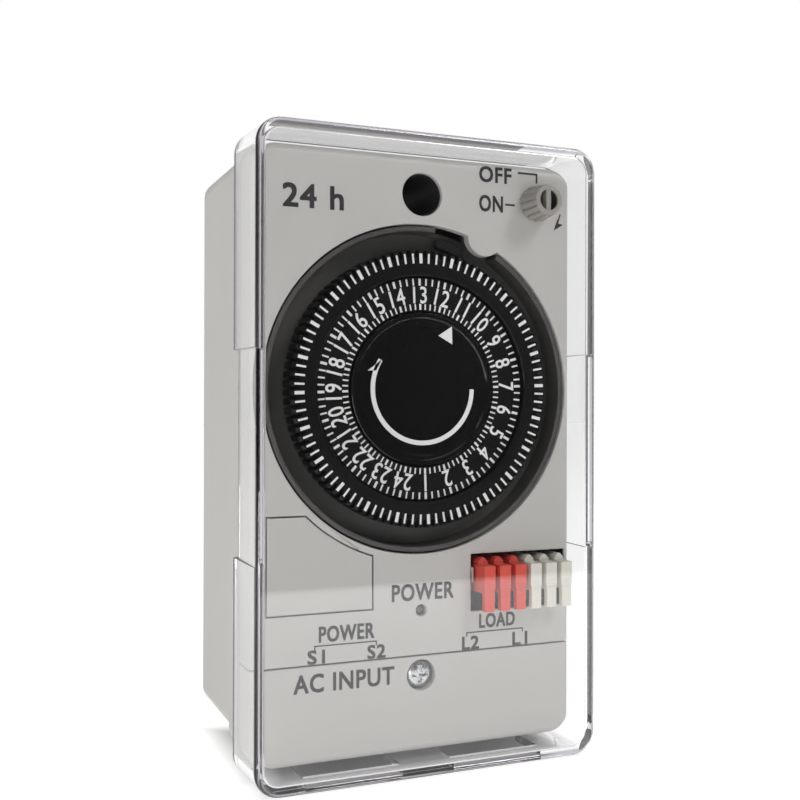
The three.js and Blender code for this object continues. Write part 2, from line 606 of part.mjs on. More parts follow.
// ---------- gear train and motor ----------
function gear(teeth, y0, thick, boreR, turn) {
  const pitchR = MODULE * teeth / 2;
  const [rootR, tipR] = [pitchR - DEDENDUM * MODULE, pitchR + ADDENDUM * MODULE];
  const outline = toothedOutline(teeth, rootR, tipR, ROOT_SHARE, TIP_SHARE, turn);
  return cut(slab(outline, y0, y0 + thick), rod(0, 0, boreR, y0 - OVERCUT, y0 + thick + OVERCUT, 16));
}

// Half a tooth of turn puts a tooth of one gear in a gap of the other.
const down = -Math.PI / 2;
const dialGear = gear(DIAL_TEETH, GEAR_Y, GEAR_THICK, SPINDLE_R + GAP, down);
addPiece('dial_gear', dialGear, WHITE_PLASTIC, dialGroup);

const middleGroup = addGroup(0, MIDDLE_Z);
const towardsMotor = Math.PI / 2 + MOTOR_TURN;
const middlePinion = gear(
  PINION_TEETH, GEAR_Y - 0.2, MIDDLE_GEAR_Y - GEAR_Y + 0.7, AXLE_R + RUN,
  Math.PI / 2 + Math.PI / PINION_TEETH,
);
const middleWheel = gear(MIDDLE_TEETH, MIDDLE_GEAR_Y, MIDDLE_GEAR_THICK, AXLE_R + RUN, towardsMotor);
addPiece('intermediate_gear', join(middlePinion, middleWheel), WHITE_PLASTIC, middleGroup);
const axleEnd = GEAR_PLATE_Y + GEAR_PLATE_THICK;
addPiece('intermediate_axle', rod(0, 0, AXLE_R, CUP_REAR_Y - 1, axleEnd, 16), STEEL, middleGroup);

const motorGroup = addGroup(MOTOR_X, MOTOR_Z);
const pinionTurn = towardsMotor + Math.PI + Math.PI / PINION_TEETH;
const motorPinion = gear(
  PINION_TEETH, MIDDLE_GEAR_Y - 0.4, MIDDLE_GEAR_THICK + 0.8, AXLE_R + 0.05, pinionTurn,
);
addPiece('motor_pinion', motorPinion, BRASS, motorGroup);
const motorY = GEAR_PLATE_Y + GEAR_PLATE_THICK + GAP;
addPiece('motor_shaft', rod(0, 0, AXLE_R - 0.25, MIDDLE_GEAR_Y - 0.8, motorY + 4, 16), STEEL, motorGroup);
const motorBody = cut(
  join(
    rod(0, 0, MOTOR_R, motorY, motorY + MOTOR_LONG, 40),
    block(-MOTOR_R - 3, MOTOR_R + 3, motorY, motorY + 1, -3, 3),
  ),
  rod(0, 0, AXLE_R + 0.1, motorY - OVERCUT, motorY + 5, 16),
);
addPiece('drive_motor', motorBody, STEEL, motorGroup);

function gearPlate() {
  const outline = roundedOutline(-GEAR_PLATE_HALF, GEAR_PLATE_HALF, MIDDLE_Z - 4, DIAL_Z + 13.2, 3);
  const body = slab(outline, GEAR_PLATE_Y, GEAR_PLATE_Y + GEAR_PLATE_THICK);
  const pillarSpots = [[-27.4, DIAL_Z + 9], [27.4, DIAL_Z + 9], [-26.5, MIDDLE_Z + 6], [26.5, MIDDLE_Z + 6]];
  const pillars = pillarSpots.map(([x, z]) => rod(x, z, PILLAR_R, CUP_REAR_Y + GAP, GEAR_PLATE_Y + 0.5, 20));
  return cut(
    join(body, ...pillars),
    rod(0, MIDDLE_Z, AXLE_R + GAP, GEAR_PLATE_Y - OVERCUT, axleEnd + OVERCUT, 16),
    rod(MOTOR_X, MOTOR_Z, AXLE_R + 1, GEAR_PLATE_Y - OVERCUT, axleEnd + OVERCUT),
  );
}
addPiece('gear_plate', gearPlate(), WHITE_PLASTIC);

// ---------- trip lever ----------
const tripY = CUP_FLOOR_Y - 3;
const tripGroup = addGroup(LOBE_X, LOBE_Z);
function tripLever() {
  const arm = new THREE.Shape();
  const [tipX, tipZ] = [TRIP_REACH * Math.cos(TRIP_ANGLE), TRIP_REACH * Math.sin(TRIP_ANGLE)];
  arm.absarc(0, 0, TRIP_HUB_R, TRIP_ANGLE + Math.PI / 2, TRIP_ANGLE + 1.5 * Math.PI);
  arm.absarc(tipX, tipZ, TRIP_TIP_R, TRIP_ANGLE - Math.PI / 2, TRIP_ANGLE + Math.PI / 2);
  const pinBore = rod(0, 0, AXLE_R + RUN, tripY - OVERCUT, tripY + TRIP_THICK + OVERCUT, 16);
  return cut(slab(arm, tripY, tripY + TRIP_THICK), pinBore);
}
addPiece('trip_lever', tripLever(), BLACK_PLASTIC, tripGroup);
addPiece('trip_lever_pin', rod(0, 0, AXLE_R, FACE_Y + 1.1, CUP_REAR_Y, 16), STEEL, tripGroup);

// ---------- knob, cam and snap switch ----------
const knobGroup = addGroup(KNOB_X, KNOB_Z);
function knob() {
  const rear = FACE_Y - GAP;
  const front = rear - KNOB_LONG;
  const outline = toothedOutline(
    KNOB_FLUTES, KNOB_BASE_R - KNOB_FLUTE_DEEP, KNOB_BASE_R, 0.62, 0.44,
  );
  const geometry = new THREE.ExtrudeGeometry(outline, { depth: KNOB_LONG, bevelEnabled: false });
  geometry.rotateX(Math.PI / 2);
  geometry.translate(0, rear, 0);
  const spots = geometry.attributes.position;
  for (let i = 0; i < spots.count; i += 1) {
    const size = 1 - (1 - KNOB_TIP_R / KNOB_BASE_R) * (rear - spots.getY(i)) / KNOB_LONG;
    spots.setX(i, spots.getX(i) * size);
    spots.setZ(i, spots.getZ(i) * size);
  }
  const bore = rod(0, 0, KNOB_BORE_R, front - OVERCUT, front + KNOB_BORE_DEEP);
  const bar = block(
    -KNOB_BAR / 2, KNOB_BAR / 2, front + 0.3, front + KNOB_BORE_DEEP + 0.2, -KNOB_BORE_R, KNOB_BORE_R,
  );
  const shaftBore = rod(0, 0, SHAFT_R + GAP / 2, front + KNOB_BORE_DEEP + 0.8, rear + OVERCUT, 16);
  return cut(join(cut(solid(geometry), bore), bar), shaftBore);
}
addPiece('manual_knob', knob(), GREY_ABS, knobGroup);
const shaftFront = FACE_Y - GAP - KNOB_LONG + KNOB_BORE_DEEP + 1.1;
const shaftRear = CAM_Y + CAM_THICK + 6.5;
addPiece('knob_shaft', rod(0, 0, SHAFT_R, shaftFront, shaftRear, 16), STEEL, knobGroup);
const camOutline = new THREE.Shape();
const camSteps = 64;
for (let i = 0; i < camSteps; i += 1) {
  const a = i * 2 * Math.PI / camSteps;
  const r = CAM_R + (CAM_LOBE_R - CAM_R) * Math.cos(2 * a) ** 4;
  if (i === 0) camOutline.moveTo(r * Math.cos(a), r * Math.sin(a));
  else camOutline.lineTo(r * Math.cos(a), r * Math.sin(a));
}
const camBore = rod(0, 0, SHAFT_R + GAP / 2, CAM_Y - OVERCUT, CAM_Y + CAM_THICK + OVERCUT, 16);
const cam = cut(slab(camOutline, CAM_Y, CAM_Y + CAM_THICK), camBore);
addPiece('switch_cam', cam, WHITE_PLASTIC, knobGroup);

const leverTop = KNOB_Z - CAM_LOBE_R - LEVER_GAP;
const leverPivotX = KNOB_X - 7;
const switchTop = leverTop - LEVER_THICK - PLUNGER_SHOW - GAP;
const switchX0 = KNOB_X - 8;
const switchY0 = CAM_Y + CAM_THICK / 2 - SWITCH_D / 2;
const switchMidY = CAM_Y + CAM_THICK / 2;
const plungerX = KNOB_X - 1.5;
const pinZ = leverTop - LEVER_THICK / 2;
function snapSwitch() {
  let body = block(
    switchX0, switchX0 + SWITCH_W, switchY0, switchY0 + SWITCH_D, switchTop - SWITCH_H, switchTop,
  );
  for (const y of [switchMidY - 2.6, switchMidY + 2.6]) {
    const ear = block(leverPivotX - 1, leverPivotX + 1, y - 0.5, y + 0.5, switchTop - 1, pinZ + 0.9);
    body = join(body, ear);
  }
  for (const x of [2, 7, 12]) {
    body = join(body, block(
      switchX0 + x - 0.4, switchX0 + x + 0.4, switchMidY - 1.5, switchMidY + 1.5,
      switchTop - SWITCH_H - 4, switchTop - SWITCH_H + 1,
    ));
  }
  const pinBore = rod(leverPivotX, pinZ, 0.4, switchY0 - 2, switchY0 + SWITCH_D + 2, 12);
  return cut(body, pinBore, plungerBar(PLUNGER_R + RUN, switchTop - 4, switchTop + 1));
}

function plungerBar(r, z0, z1) {
  const geometry = new THREE.CylinderGeometry(r, r, z1 - z0, 16);
  geometry.rotateX(Math.PI / 2);
  geometry.translate(plungerX, switchMidY, (z0 + z1) / 2);
  return solid(geometry);
}
addPiece('snap_switch', snapSwitch(), BLACK_PLASTIC);
addPiece('switch_plunger', plungerBar(PLUNGER_R, switchTop - 3, switchTop + PLUNGER_SHOW), RED);
const leverArm = join(
  block(
    leverPivotX, leverPivotX + LEVER_LONG, switchMidY - LEVER_W / 2, switchMidY + LEVER_W / 2,
    leverTop - LEVER_THICK, leverTop,
  ),
  rod(leverPivotX, pinZ, 0.7, switchMidY - LEVER_W / 2, switchMidY + LEVER_W / 2, 16),
  rod(leverPivotX, pinZ, 0.32, switchY0, switchY0 + SWITCH_D, 12),
);
addPiece('switch_lever', leverArm, STEEL);

// ---------- setters ----------
// Seen from the side: a proud thumb block, a pointed head at the face and a foot in the rack.
function setter() {
  const front = FACE_Y - SETTER_PROUD;
  const rear = FACE_Y + RACK_DEPTH - RUN;
  const low = RACK_BOTTOM + RUN;
  const top = RACK_TOP - 2.1;
  const thumb = block(-SETTER_W / 2, SETTER_W / 2, front, rear, low, top);
  const point = new THREE.Shape();
  point.moveTo(-SETTER_W / 2 + 0.2, top - 0.2);
  point.lineTo(SETTER_W / 2 - 0.2, top - 0.2);
  point.lineTo(SETTER_W / 2 - 0.2, top + 0.6);
  point.lineTo(0, RACK_TOP - SETTER_POINT);
  point.lineTo(-SETTER_W / 2 + 0.2, top + 0.6);
  const head = slab(point, FACE_Y - 0.8, rear);
  const grip = block(-SETTER_W, SETTER_W, front - OVERCUT, front + 1, top - 5.1, top - 4.4);
  const underFlap = block(
    -SETTER_W, SETTER_W, front + SETTER_FLAP, rear + OVERCUT, low - OVERCUT, low + SETTER_FLAP_H,
  );
  return cut(join(thumb, head), grip, underFlap);
}
for (let i = 0; i < SETTER_COUNT; i += 1) {
  const x = RACK_LEFT + RACK_LEAD + SETTER_W / 2 + i * SETTER_PITCH;
  const red = i < SETTER_COUNT / 2;
  const name = red ? `setter_red_${i + 1}` : `setter_white_${i + 1 - SETTER_COUNT / 2}`;
  addPiece(name, setter(), red ? RED : IVORY, addGroup(x, 0));
}

// ---------- board and what stands on it ----------
const boardY = -BACK_WALL - BOARD_LIFT - BOARD_THICK;
const board = block(
  -BOARD_HALF, BOARD_HALF, boardY, boardY + BOARD_THICK, PART_Z + BOARD_FOOT, DIAL_Z + BOARD_RISE,
);
addPiece('main_board', board, BOARD_GREEN);
addPiece('power_capacitor', block(8, 24, boardY - GAP - 10, boardY - GAP, -24, -11), RED);
addPiece('backup_battery', rod(17, 14, 8, boardY - GAP - 5.4, boardY - GAP, 32), STEEL);
addPiece('quartz_crystal', rod(-8, -20, 1.5, boardY - GAP - 6, boardY - GAP, 16), STEEL);
const lampBoardY = FRONT_REAR_Y + 1.6;
addPiece('lamp_board', block(-6, 6, lampBoardY, lampBoardY + 1, LAMP_Z - 4, LAMP_Z + 4), BOARD_GREEN);
const lamp = join(
  rod(0, LAMP_Z, LAMP_R - GAP, FACE_Y + 1, FACE_Y + FACE_PLATE + 1, 16),
  rod(0, LAMP_Z, 1.5, FACE_Y + FACE_PLATE + 0.4, lampBoardY - GAP, 20),
);
addPiece('power_lamp', lamp, LAMP_RED);

// ---------- terminals ----------
const terminalTop = PART_Z - 0.7;
const terminalLow = terminalTop - 10.2;
const terminalFront = SPLIT_Y + 8;
function terminalBlock() {
  let body = block(-28.5, 28.5, terminalFront, -BACK_WALL - GAP, terminalLow, terminalTop);
  for (const x of [-28, -16, 4.6, 16.9, 28]) {
    const rib = block(x - 0.5, x + 0.5, terminalFront - 4, terminalFront + 1, terminalLow, terminalTop);
    body = join(body, rib);
  }
  for (const x of TERMINAL_X) {
    body = cut(body, rod(x, terminalLow + 5.1, SCREW_R + GAP, terminalFront - OVERCUT, terminalFront + 9, 16));
  }
  return cut(body, rod(0, COVER_SCREW_Z, POST_R + 2 * GAP, terminalFront - 6, 0));
}
addPiece('terminal_block', terminalBlock(), BLACK_PLASTIC);
TERMINAL_X.forEach((x, i) => {
  const group = addGroup(x, terminalLow + 5.1);
  const half = TERMINAL_PLATE / 2;
  const y = terminalFront - GAP;
  const plate = cut(
    block(-half, half, y - 1, y, -half, half),
    rod(0, 0, SCREW_R + GAP, y - 2, y + 2, 16),
  );
  addPiece(`terminal_plate_${i + 1}`, plate, BRASS, group);
  const headFront = y - 1 - WIRE_GAP - 2;
  const terminalScrew = screw(TERMINAL_SCREW_R, headFront, 2, terminalFront + 7, true);
  addPiece(`terminal_screw_${i + 1}`, terminalScrew, STEEL, group);
});

export default timer;
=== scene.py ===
import math

import bmesh
import bpy
from mathutils import Matrix, Vector


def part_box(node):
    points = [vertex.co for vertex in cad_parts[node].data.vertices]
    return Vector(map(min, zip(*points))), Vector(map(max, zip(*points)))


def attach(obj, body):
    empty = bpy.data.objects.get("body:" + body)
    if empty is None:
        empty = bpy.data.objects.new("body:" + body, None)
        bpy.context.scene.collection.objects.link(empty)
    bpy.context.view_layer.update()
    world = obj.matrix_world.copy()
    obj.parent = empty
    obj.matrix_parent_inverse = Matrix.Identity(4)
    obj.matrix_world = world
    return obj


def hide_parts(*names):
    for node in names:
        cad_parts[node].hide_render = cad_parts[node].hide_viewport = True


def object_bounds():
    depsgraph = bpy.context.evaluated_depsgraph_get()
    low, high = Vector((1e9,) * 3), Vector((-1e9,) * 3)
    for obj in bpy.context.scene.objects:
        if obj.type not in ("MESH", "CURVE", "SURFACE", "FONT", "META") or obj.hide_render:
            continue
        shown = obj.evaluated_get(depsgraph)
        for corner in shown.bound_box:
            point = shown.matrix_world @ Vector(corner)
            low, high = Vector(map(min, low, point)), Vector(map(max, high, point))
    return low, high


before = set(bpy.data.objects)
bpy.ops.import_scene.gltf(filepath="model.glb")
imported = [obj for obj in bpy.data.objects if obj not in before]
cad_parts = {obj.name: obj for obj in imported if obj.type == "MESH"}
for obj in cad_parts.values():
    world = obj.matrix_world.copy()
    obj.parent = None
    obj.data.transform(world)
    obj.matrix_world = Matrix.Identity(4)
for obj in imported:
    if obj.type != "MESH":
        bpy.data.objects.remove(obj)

# A 24-hour dial time switch for a wall: a light grey case, a black program dial, six plug-in setters
# and a clear cover. Sizes are in millimetres in the CAD frame, and MM brings them to metres.
cad_box = [list(corner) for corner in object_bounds()]

# ---------------------------------------------------------------- rear case
# The rear case is one moulding in light grey ABS with a fine spark-eroded grain. It hangs on the wall
# by a screw down the tube at its top, and four long screws from behind hold the front case on it.
MM = 0.001
ABS_GREY = (0.53, 0.52, 0.49)
GRAIN = 2600            # grains of the moulded texture in a metre
FLOW = 28               # waves of the melt's shade in a metre
NOISE_SPAN = (0.3, 0.7)     # where nearly all of a noise lies


def node_group(name, inputs, outputs):
    """An empty shader group with float or colour sockets, given as name to default value."""
    group = bpy.data.node_groups.new(name, "ShaderNodeTree")
    for sockets, side in ((inputs, "INPUT"), (outputs, "OUTPUT")):
        for label, default in sockets.items():
            kind = "NodeSocketColor" if isinstance(default, tuple) else "NodeSocketFloat"
            socket = group.interface.new_socket(label, in_out=side, socket_type=kind)
            socket.default_value = default
    start = group.nodes.new("NodeGroupInput")
    end = group.nodes.new("NodeGroupOutput")
    return group, start, end


def add_node(tree, kind, links=(), **settings):
    """A node whose inputs are set or linked by name; an item of links is (input, value or socket)."""
    node = tree.nodes.new(kind)
    for key, value in settings.items():
        setattr(node, key, value)
    for key, value in links:
        if isinstance(value, bpy.types.NodeSocket):
            tree.links.new(value, node.inputs[key])
        else:
            node.inputs[key].default_value = value
    return node


def maths(tree, operation, one, two=0.0):
    """The result of one sum in a node tree."""
    return add_node(tree, "ShaderNodeMath", [(0, one), (1, two)], operation=operation).outputs[0]


def ramp(tree, value, low, high, start=0.0, stop=1.0):
    """Where a value stands between low and high, brought between start and stop and held there."""
    return add_node(tree, "ShaderNodeMapRange", [
        ("Value", value), ("From Min", low), ("From Max", high), ("To Min", start), ("To Max", stop),
    ]).outputs["Result"]


def object_noise(tree, scale, detail, stretch=None, **settings):
    """Noise fixed to the piece, scale in waves a metre, drawn out along the low parts of stretch."""
    where = add_node(tree, "ShaderNodeTexCoord").outputs["Object"]
    if stretch:
        where = add_node(tree, "ShaderNodeMapping", [("Vector", where), ("Scale", stretch)]).outputs[0]
    links = [("Vector", where), ("Scale", scale), ("Detail", detail), *settings.items()]
    return add_node(tree, "ShaderNodeTexNoise", links).outputs["Fac"]


def moulded_group():
    """Slow shade changes from the melt's flow, and the fine grain of the mould."""
    group, start, end = node_group(
        "moulded_surface",
        {"Colour": (0.5, 0.5, 0.5, 1), "Shade": 0.05, "Grain": 2000.0},
        {"Colour": (0.5, 0.5, 0.5, 1), "Height": 0.0, "Roughness shift": 0.0},
    )
    flow = object_noise(group, FLOW, 4)
    low = maths(group, "SUBTRACT", 1.0, start.outputs["Shade"])
    high = maths(group, "ADD", 1.0, start.outputs["Shade"])
    tint = add_node(group, "ShaderNodeHueSaturation", [
        ("Value", ramp(group, flow, *NOISE_SPAN, low, high)), ("Color", start.outputs["Colour"])])
    group.links.new(tint.outputs["Color"], end.inputs["Colour"])
    group.links.new(object_noise(group, start.outputs["Grain"], 2, Roughness=0.6), end.inputs["Height"])
    group.links.new(ramp(group, flow, *NOISE_SPAN, -0.04, 0.04), end.inputs["Roughness shift"])
    return group


MOULDED = moulded_group()


def blank_material(name):
    """A new material, its node tree and its shader."""
    material = bpy.data.materials.new(name)
    material.use_nodes = True
    return material, material.node_tree, material.node_tree.nodes["Principled BSDF"]


def plastic(name, colour, roughness, shade=0.04, grain=GRAIN, depth=0.02, **sockets):
    """A moulded plastic. depth is the height of its grain in millimetres."""
    material, tree, shader = blank_material(name)
    surface = add_node(tree, "ShaderNodeGroup", [
        ("Colour", (*colour, 1)), ("Shade", shade), ("Grain", grain)], node_tree=MOULDED)
    tree.links.new(surface.outputs["Colour"], shader.inputs["Base Color"])
    rough = maths(tree, "ADD", roughness, surface.outputs["Roughness shift"])
    tree.links.new(rough, shader.inputs["Roughness"])
    bump = add_node(tree, "ShaderNodeBump", [
        ("Height", surface.outputs["Height"]), ("Distance", depth * MM), ("Strength", 1.0)])
    tree.links.new(bump.outputs["Normal"], shader.inputs["Normal"])
    for label, value in sockets.items():
        shader.inputs[label.replace("_", " ")].default_value = value
    return material


def placed(name, data):
    """A new object in the scene."""
    made = bpy.data.objects.new(name, data)
    bpy.context.scene.collection.objects.link(made)
    return made


def frozen(carrier):
    """The plain mesh of an object as its modifiers leave it. The object itself goes."""
    graph = bpy.context.evaluated_depsgraph_get()
    made = bpy.data.meshes.new_from_object(carrier.evaluated_get(graph), depsgraph=graph)
    bpy.data.objects.remove(carrier)
    return made


def worked(mesh, *steps):
    """The mesh after modifiers, each given as its type and its settings."""
    carrier = placed("work", mesh)
    for kind, settings in steps:
        modifier = carrier.modifiers.new(kind, kind)
        for key, value in settings.items():
            setattr(modifier, key, value)
    return frozen(carrier)


SHARP = math.radians(32)        # faces that meet at more than this have a sharp edge


def softened(mesh, width, segments=2, chosen=lambda edge: True):
    """Rounds the chosen sharp edges by width in millimetres and leaves flat faces shaded flat."""
    bm = bmesh.new()
    bm.from_mesh(mesh)
    weight = bm.edges.layers.float.new("bevel_weight_edge")
    for edge in bm.edges:
        sharp = len(edge.link_faces) == 2 and edge.calc_face_angle(0) > SHARP
        edge[weight] = float(sharp and chosen(edge))
        edge.smooth = not sharp or bool(edge[weight])
    for facet in bm.faces:
        facet.smooth = True
    bm.to_mesh(mesh)
    bm.free()
    bevel = {
        "width": width * MM, "segments": segments, "limit_method": "WEIGHT", "use_clamp_overlap": False}
    return worked(mesh, ("BEVEL", bevel), ("WEIGHTED_NORMAL", {"keep_sharp": True}))


def refined(node, width=0.12, segments=2, chosen=lambda edge: True):
    """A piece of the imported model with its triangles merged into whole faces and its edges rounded."""
    bm = bmesh.new()
    bm.from_mesh(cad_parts[node].data)
    bmesh.ops.remove_doubles(bm, verts=bm.verts, dist=2e-6)
    bmesh.ops.dissolve_limit(bm, angle_limit=math.radians(0.4), verts=bm.verts, edges=bm.edges)
    mesh = bpy.data.meshes.new(node)
    bm.to_mesh(mesh)
    bm.free()
    return softened(mesh, width, segments, chosen)


def piece(name, mesh, material, body, slot, *nodes):
    """Puts a finished mesh in the scene as one piece that rides on a body and stands for CAD nodes."""
    mesh.materials.clear()
    mesh.materials.append(material)
    made = placed(name, mesh)
    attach(made, body)
    if nodes:
        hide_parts(*nodes)


grey_abs = plastic("grey_abs", ABS_GREY, 0.5, depth=0.008)
INSIDE_X = 35.3         # the walls and columns within these bounds keep their sharp edges
INSIDE_Y = -30.0
INSIDE_Z = -34.5


def outside_terminals(edge):
    """True for the edges that do not lie within the terminal end of the case."""
    return any(
        abs(v.co.x) >= INSIDE_X * MM or v.co.y <= INSIDE_Y * MM or v.co.z >= INSIDE_Z * MM
        for v in edge.verts)


rear_shell = refined("rear_case", 0.3, chosen=outside_terminals)
piece("rear_case_shell", rear_shell, grey_abs, "case", "grey_abs", "rear_case")

# ---------------------------------------------------------------- screws
# Plated steel machine screws, headed and rolled. Four hold the two halves of the case together from
# behind, and each terminal has a slotted one over its clamp plate.
STREAKS = 1800          # tool marks in a metre


def metal(name, colour, roughness, grain=(1, 1, 1), shade=0.08):
    """A plated or turned metal whose roughness is streaked along the directions with a low grain."""
    material, tree, shader = blank_material(name)
    shader.inputs["Metallic"].default_value = 1.0
    streaks = object_noise(tree, STREAKS, 3, grain)
    rough = ramp(tree, streaks, *NOISE_SPAN, roughness * 0.7, roughness * 1.3)
    tint = add_node(tree, "ShaderNodeHueSaturation", [
        ("Value", ramp(tree, streaks, *NOISE_SPAN, 1 - shade, 1 + shade)), ("Color", (*colour, 1))])
    tree.links.new(tint.outputs["Color"], shader.inputs["Base Color"])
    tree.links.new(rough, shader.inputs["Roughness"])
    return material


steel = metal("plated_steel", (0.62, 0.63, 0.64), 0.25)
for number in range(1, 5):
    for kind in ("case", "terminal"):
        node = f"{kind}_screw_{number}"
        piece(f"{node}_steel", refined(node, 0.1), steel, "case", "steel", node)

# ---------------------------------------------------------------- terminals
# A black phenolic-look block stands on the rear case and carries four brass clamp plates. Ribs
# between the plates keep the wires apart.
black_plastic = plastic("black_satin", (0.021, 0.021, 0.022), 0.36, shade=0.1, grain=3400, depth=0.012)
brass = metal("turned_brass", (0.66, 0.47, 0.2), 0.28, grain=(1, 0.2, 1))
terminal_base = refined("terminal_block", 0.2)
piece("terminal_base", terminal_base, black_plastic, "case", "black_plastic", "terminal_block")
for number in range(1, 5):
    node = f"terminal_plate_{number}"
    piece(f"clamp_{number}", refined(node, 0.15), brass, "case", "brass", node)

# ---------------------------------------------------------------- circuit board and its parts
# Green glass laminate boards with a solder mask. The large one carries the dropper capacitor in its
# dipped case, the back-up cell and the quartz crystal; the small one holds the lamp.

board_green = plastic(
    "green_laminate", (0.03, 0.16, 0.07), 0.3, shade=0.08, grain=900, depth=0.01, Coat_Weight=0.4)
dipped_red = plastic("dipped_resin", (0.42, 0.07, 0.035), 0.25, grain=700, depth=0.05)
spun_steel = metal("spun_steel", (0.6, 0.61, 0.62), 0.22, grain=(0.3, 1, 0.3))
BOARD_PARTS = {
    "main_board": (board_green, "board_green", 0.15),
    "lamp_board": (board_green, "board_green", 0.15),
    "power_capacitor": (dipped_red, "red_plastic", 1.2),
    "backup_battery": (spun_steel, "steel", 0.4),
    "quartz_crystal": (spun_steel, "steel", 0.3),
}
for node, (material, slot, width) in BOARD_PARTS.items():
    piece(f"{node}_part", refined(node, width, 3), material, "case", slot, node)

# ---------------------------------------------------------------- gear train and motor
# A small synchronous motor turns a brass pinion, which drives the dial through one nylon wheel and
# pinion. The gear plate with its pillars holds the motor and the middle axle behind the dial.
nylon = plastic(
    "natural_nylon", (0.74, 0.72, 0.66), 0.38, grain=1500, depth=0.01,
    Subsurface_Weight=0.12, Subsurface_Scale=0.6 * MM)
GEAR_PARTS = {
    "gear_plate": (nylon, "case", "white_plastic", 0.2),
    "drive_motor": (spun_steel, "case", "steel", 0.5),
    "intermediate_axle": (steel, "case", "steel", 0.1),
    "dial_bush": (brass, "case", "brass", 0.1),
    "dial_spindle": (steel, "dial", "steel", 0.15),
    "dial_gear": (nylon, "dial", "white_plastic", 0.06),
    "intermediate_gear": (nylon, "intermediate_wheel", "white_plastic", 0.06),
    "motor_pinion": (brass, "motor_rotor", "brass", 0.06),
    "motor_shaft": (steel, "motor_rotor", "steel", 0.1),
}
for node, (material, body, slot, width) in GEAR_PARTS.items():
    piece(f"{node}_part", refined(node, width), material, body, slot, node)

# ---------------------------------------------------------------- manual switch
# The knob's steel shaft carries a nylon cam. Its two lobes press a sprung lever on a snap switch,
# whose red plunger goes in with the lever.
red_plastic = plastic("setter_red", (0.72, 0.085, 0.06), 0.42, shade=0.06, depth=0.012)
SWITCH_PARTS = {
    "snap_switch": (black_plastic, "case", "black_plastic", 0.2),
    "knob_shaft": (steel, "knob", "steel", 0.15),
    "switch_cam": (nylon, "knob", "white_plastic", 0.15),
    "switch_lever": (steel, "switch_arm", "steel", 0.08),
    "switch_plunger": (red_plastic, "plunger", "red_plastic", 0.15),
}
for node, (material, body, slot, width) in SWITCH_PARTS.items():
    piece(f"{node}_part", refined(node, width), material, body, slot, node)

# ---------------------------------------------------------------- movement plate
# A shallow black cup behind the dial, moulded in satin plastic. Its floor and side show all round the
# dial as the dark well, and it carries the pin of the trip lever.


def span(node):
    """The lowest and highest corner of a CAD node, in millimetres."""
    low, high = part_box(node)
    return low / MM, high / MM


def centre(node):
    """The middle of a CAD node seen from the front, as x and z in millimetres."""
    low, high = span(node)
    return (low.x + high.x) / 2, (low.z + high.z) / 2


def loft(rings, closed=False):
    """A closed mesh through rings of points in millimetres, all with the same number of points.
    Closed joins the last ring to the first; otherwise each end is capped."""
    bm = bmesh.new()
    loops = [[bm.verts.new(Vector(spot) * MM) for spot in ring] for ring in rings]
    pairs = list(zip(loops, loops[1:]))
    if closed:
        pairs.append((loops[-1], loops[0]))
    else:
        bm.faces.new(loops[0])
        bm.faces.new(loops[-1])
    for one, two in pairs:
        for i, spot in enumerate(one):
            j = (i + 1) % len(one)
            bm.faces.new((spot, one[j], two[j], two[i]))
    bmesh.ops.recalc_face_normals(bm, faces=bm.faces)
    mesh = bpy.data.meshes.new("loft")
    bm.to_mesh(mesh)
    bm.free()
    return mesh


def at(y, outline):
    """A flat outline of (x, z) points as a ring at depth y."""
    return [(x, y, z) for x, z in outline]


def arc(x, z, radius, start, stop, steps):
    """Points along an arc, with its angles counter-clockwise from the right."""
    angles = [start + (stop - start) * i / steps for i in range(steps + 1)]
    return [(x + radius * math.cos(a), z + radius * math.sin(a)) for a in angles]


def circle(x, z, radius, sides=96):
    """A round outline."""
    return arc(x, z, radius, 0, 2 * math.pi, sides)[:-1]


def bar(x, z, radius, y0, y1, sides=96):
    """A round bar along Y."""
    return loft([at(y, circle(x, z, radius, sides)) for y in (y0, y1)])


def block(x0, x1, y0, y1, z0, z1):
    """A plain cutter or filler block."""
    outline = [(x0, z0), (x1, z0), (x1, z1), (x0, z1)]
    return loft([at(y, outline) for y in (y0, y1)])


def combined(mesh, how, *tools):
    """The mesh cut by, or joined with, closed tool meshes."""
    helpers = [placed("tool", tool) for tool in tools]
    steps = [("BOOLEAN", {"object": h, "operation": how, "solver": "EXACT"}) for h in helpers]
    made = worked(mesh, *steps)
    for helper in helpers:
        bpy.data.objects.remove(helper)
    return made


WELL_CLEAR = 0.35       # cup to the edge of the well
CUP_WALL = 1.0
AXLE_PLUG_R = 1.6       # the blanked end of the middle axle's bore
SHOULDER = (math.radians(38), math.radians(58.5))       # the cup's side stands up here, beside the lobe
dial_low, dial_high = span("program_dial")
DIAL_Z = centre("program_dial")[1]
DIAL_R = (dial_high.x - dial_low.x) / 2
cup_low, cup_high = span("movement_plate")
cup_r = cup_high.x
well_r = cup_r + WELL_CLEAR
axle_front = span("intermediate_axle")[0].y
plug = bar(*centre("intermediate_axle"), AXLE_PLUG_R, axle_front - 0.22, axle_front - 0.05, 32)
wall = (arc(0, DIAL_Z, cup_r, *SHOULDER, 20)
        + arc(0, DIAL_Z, cup_r - CUP_WALL, *reversed(SHOULDER), 20))
shoulder = loft([at(y, wall) for y in (cup_low.y, dial_high.y + 1.05)])
cup = combined(refined("movement_plate", 0.15), "UNION", plug, shoulder)
# The cup's colour is lifted from black to dark grey as a painted sheen, standing in for the soft grey gloss
# on the well's floor.
cup_painted_sheen = plastic("cup_painted_sheen", (0.075, 0.073, 0.068), 0.4, shade=0.12, grain=3000, depth=0.012)
piece("movement_cup", cup, cup_painted_sheen, "case", "black_plastic", "movement_plate")

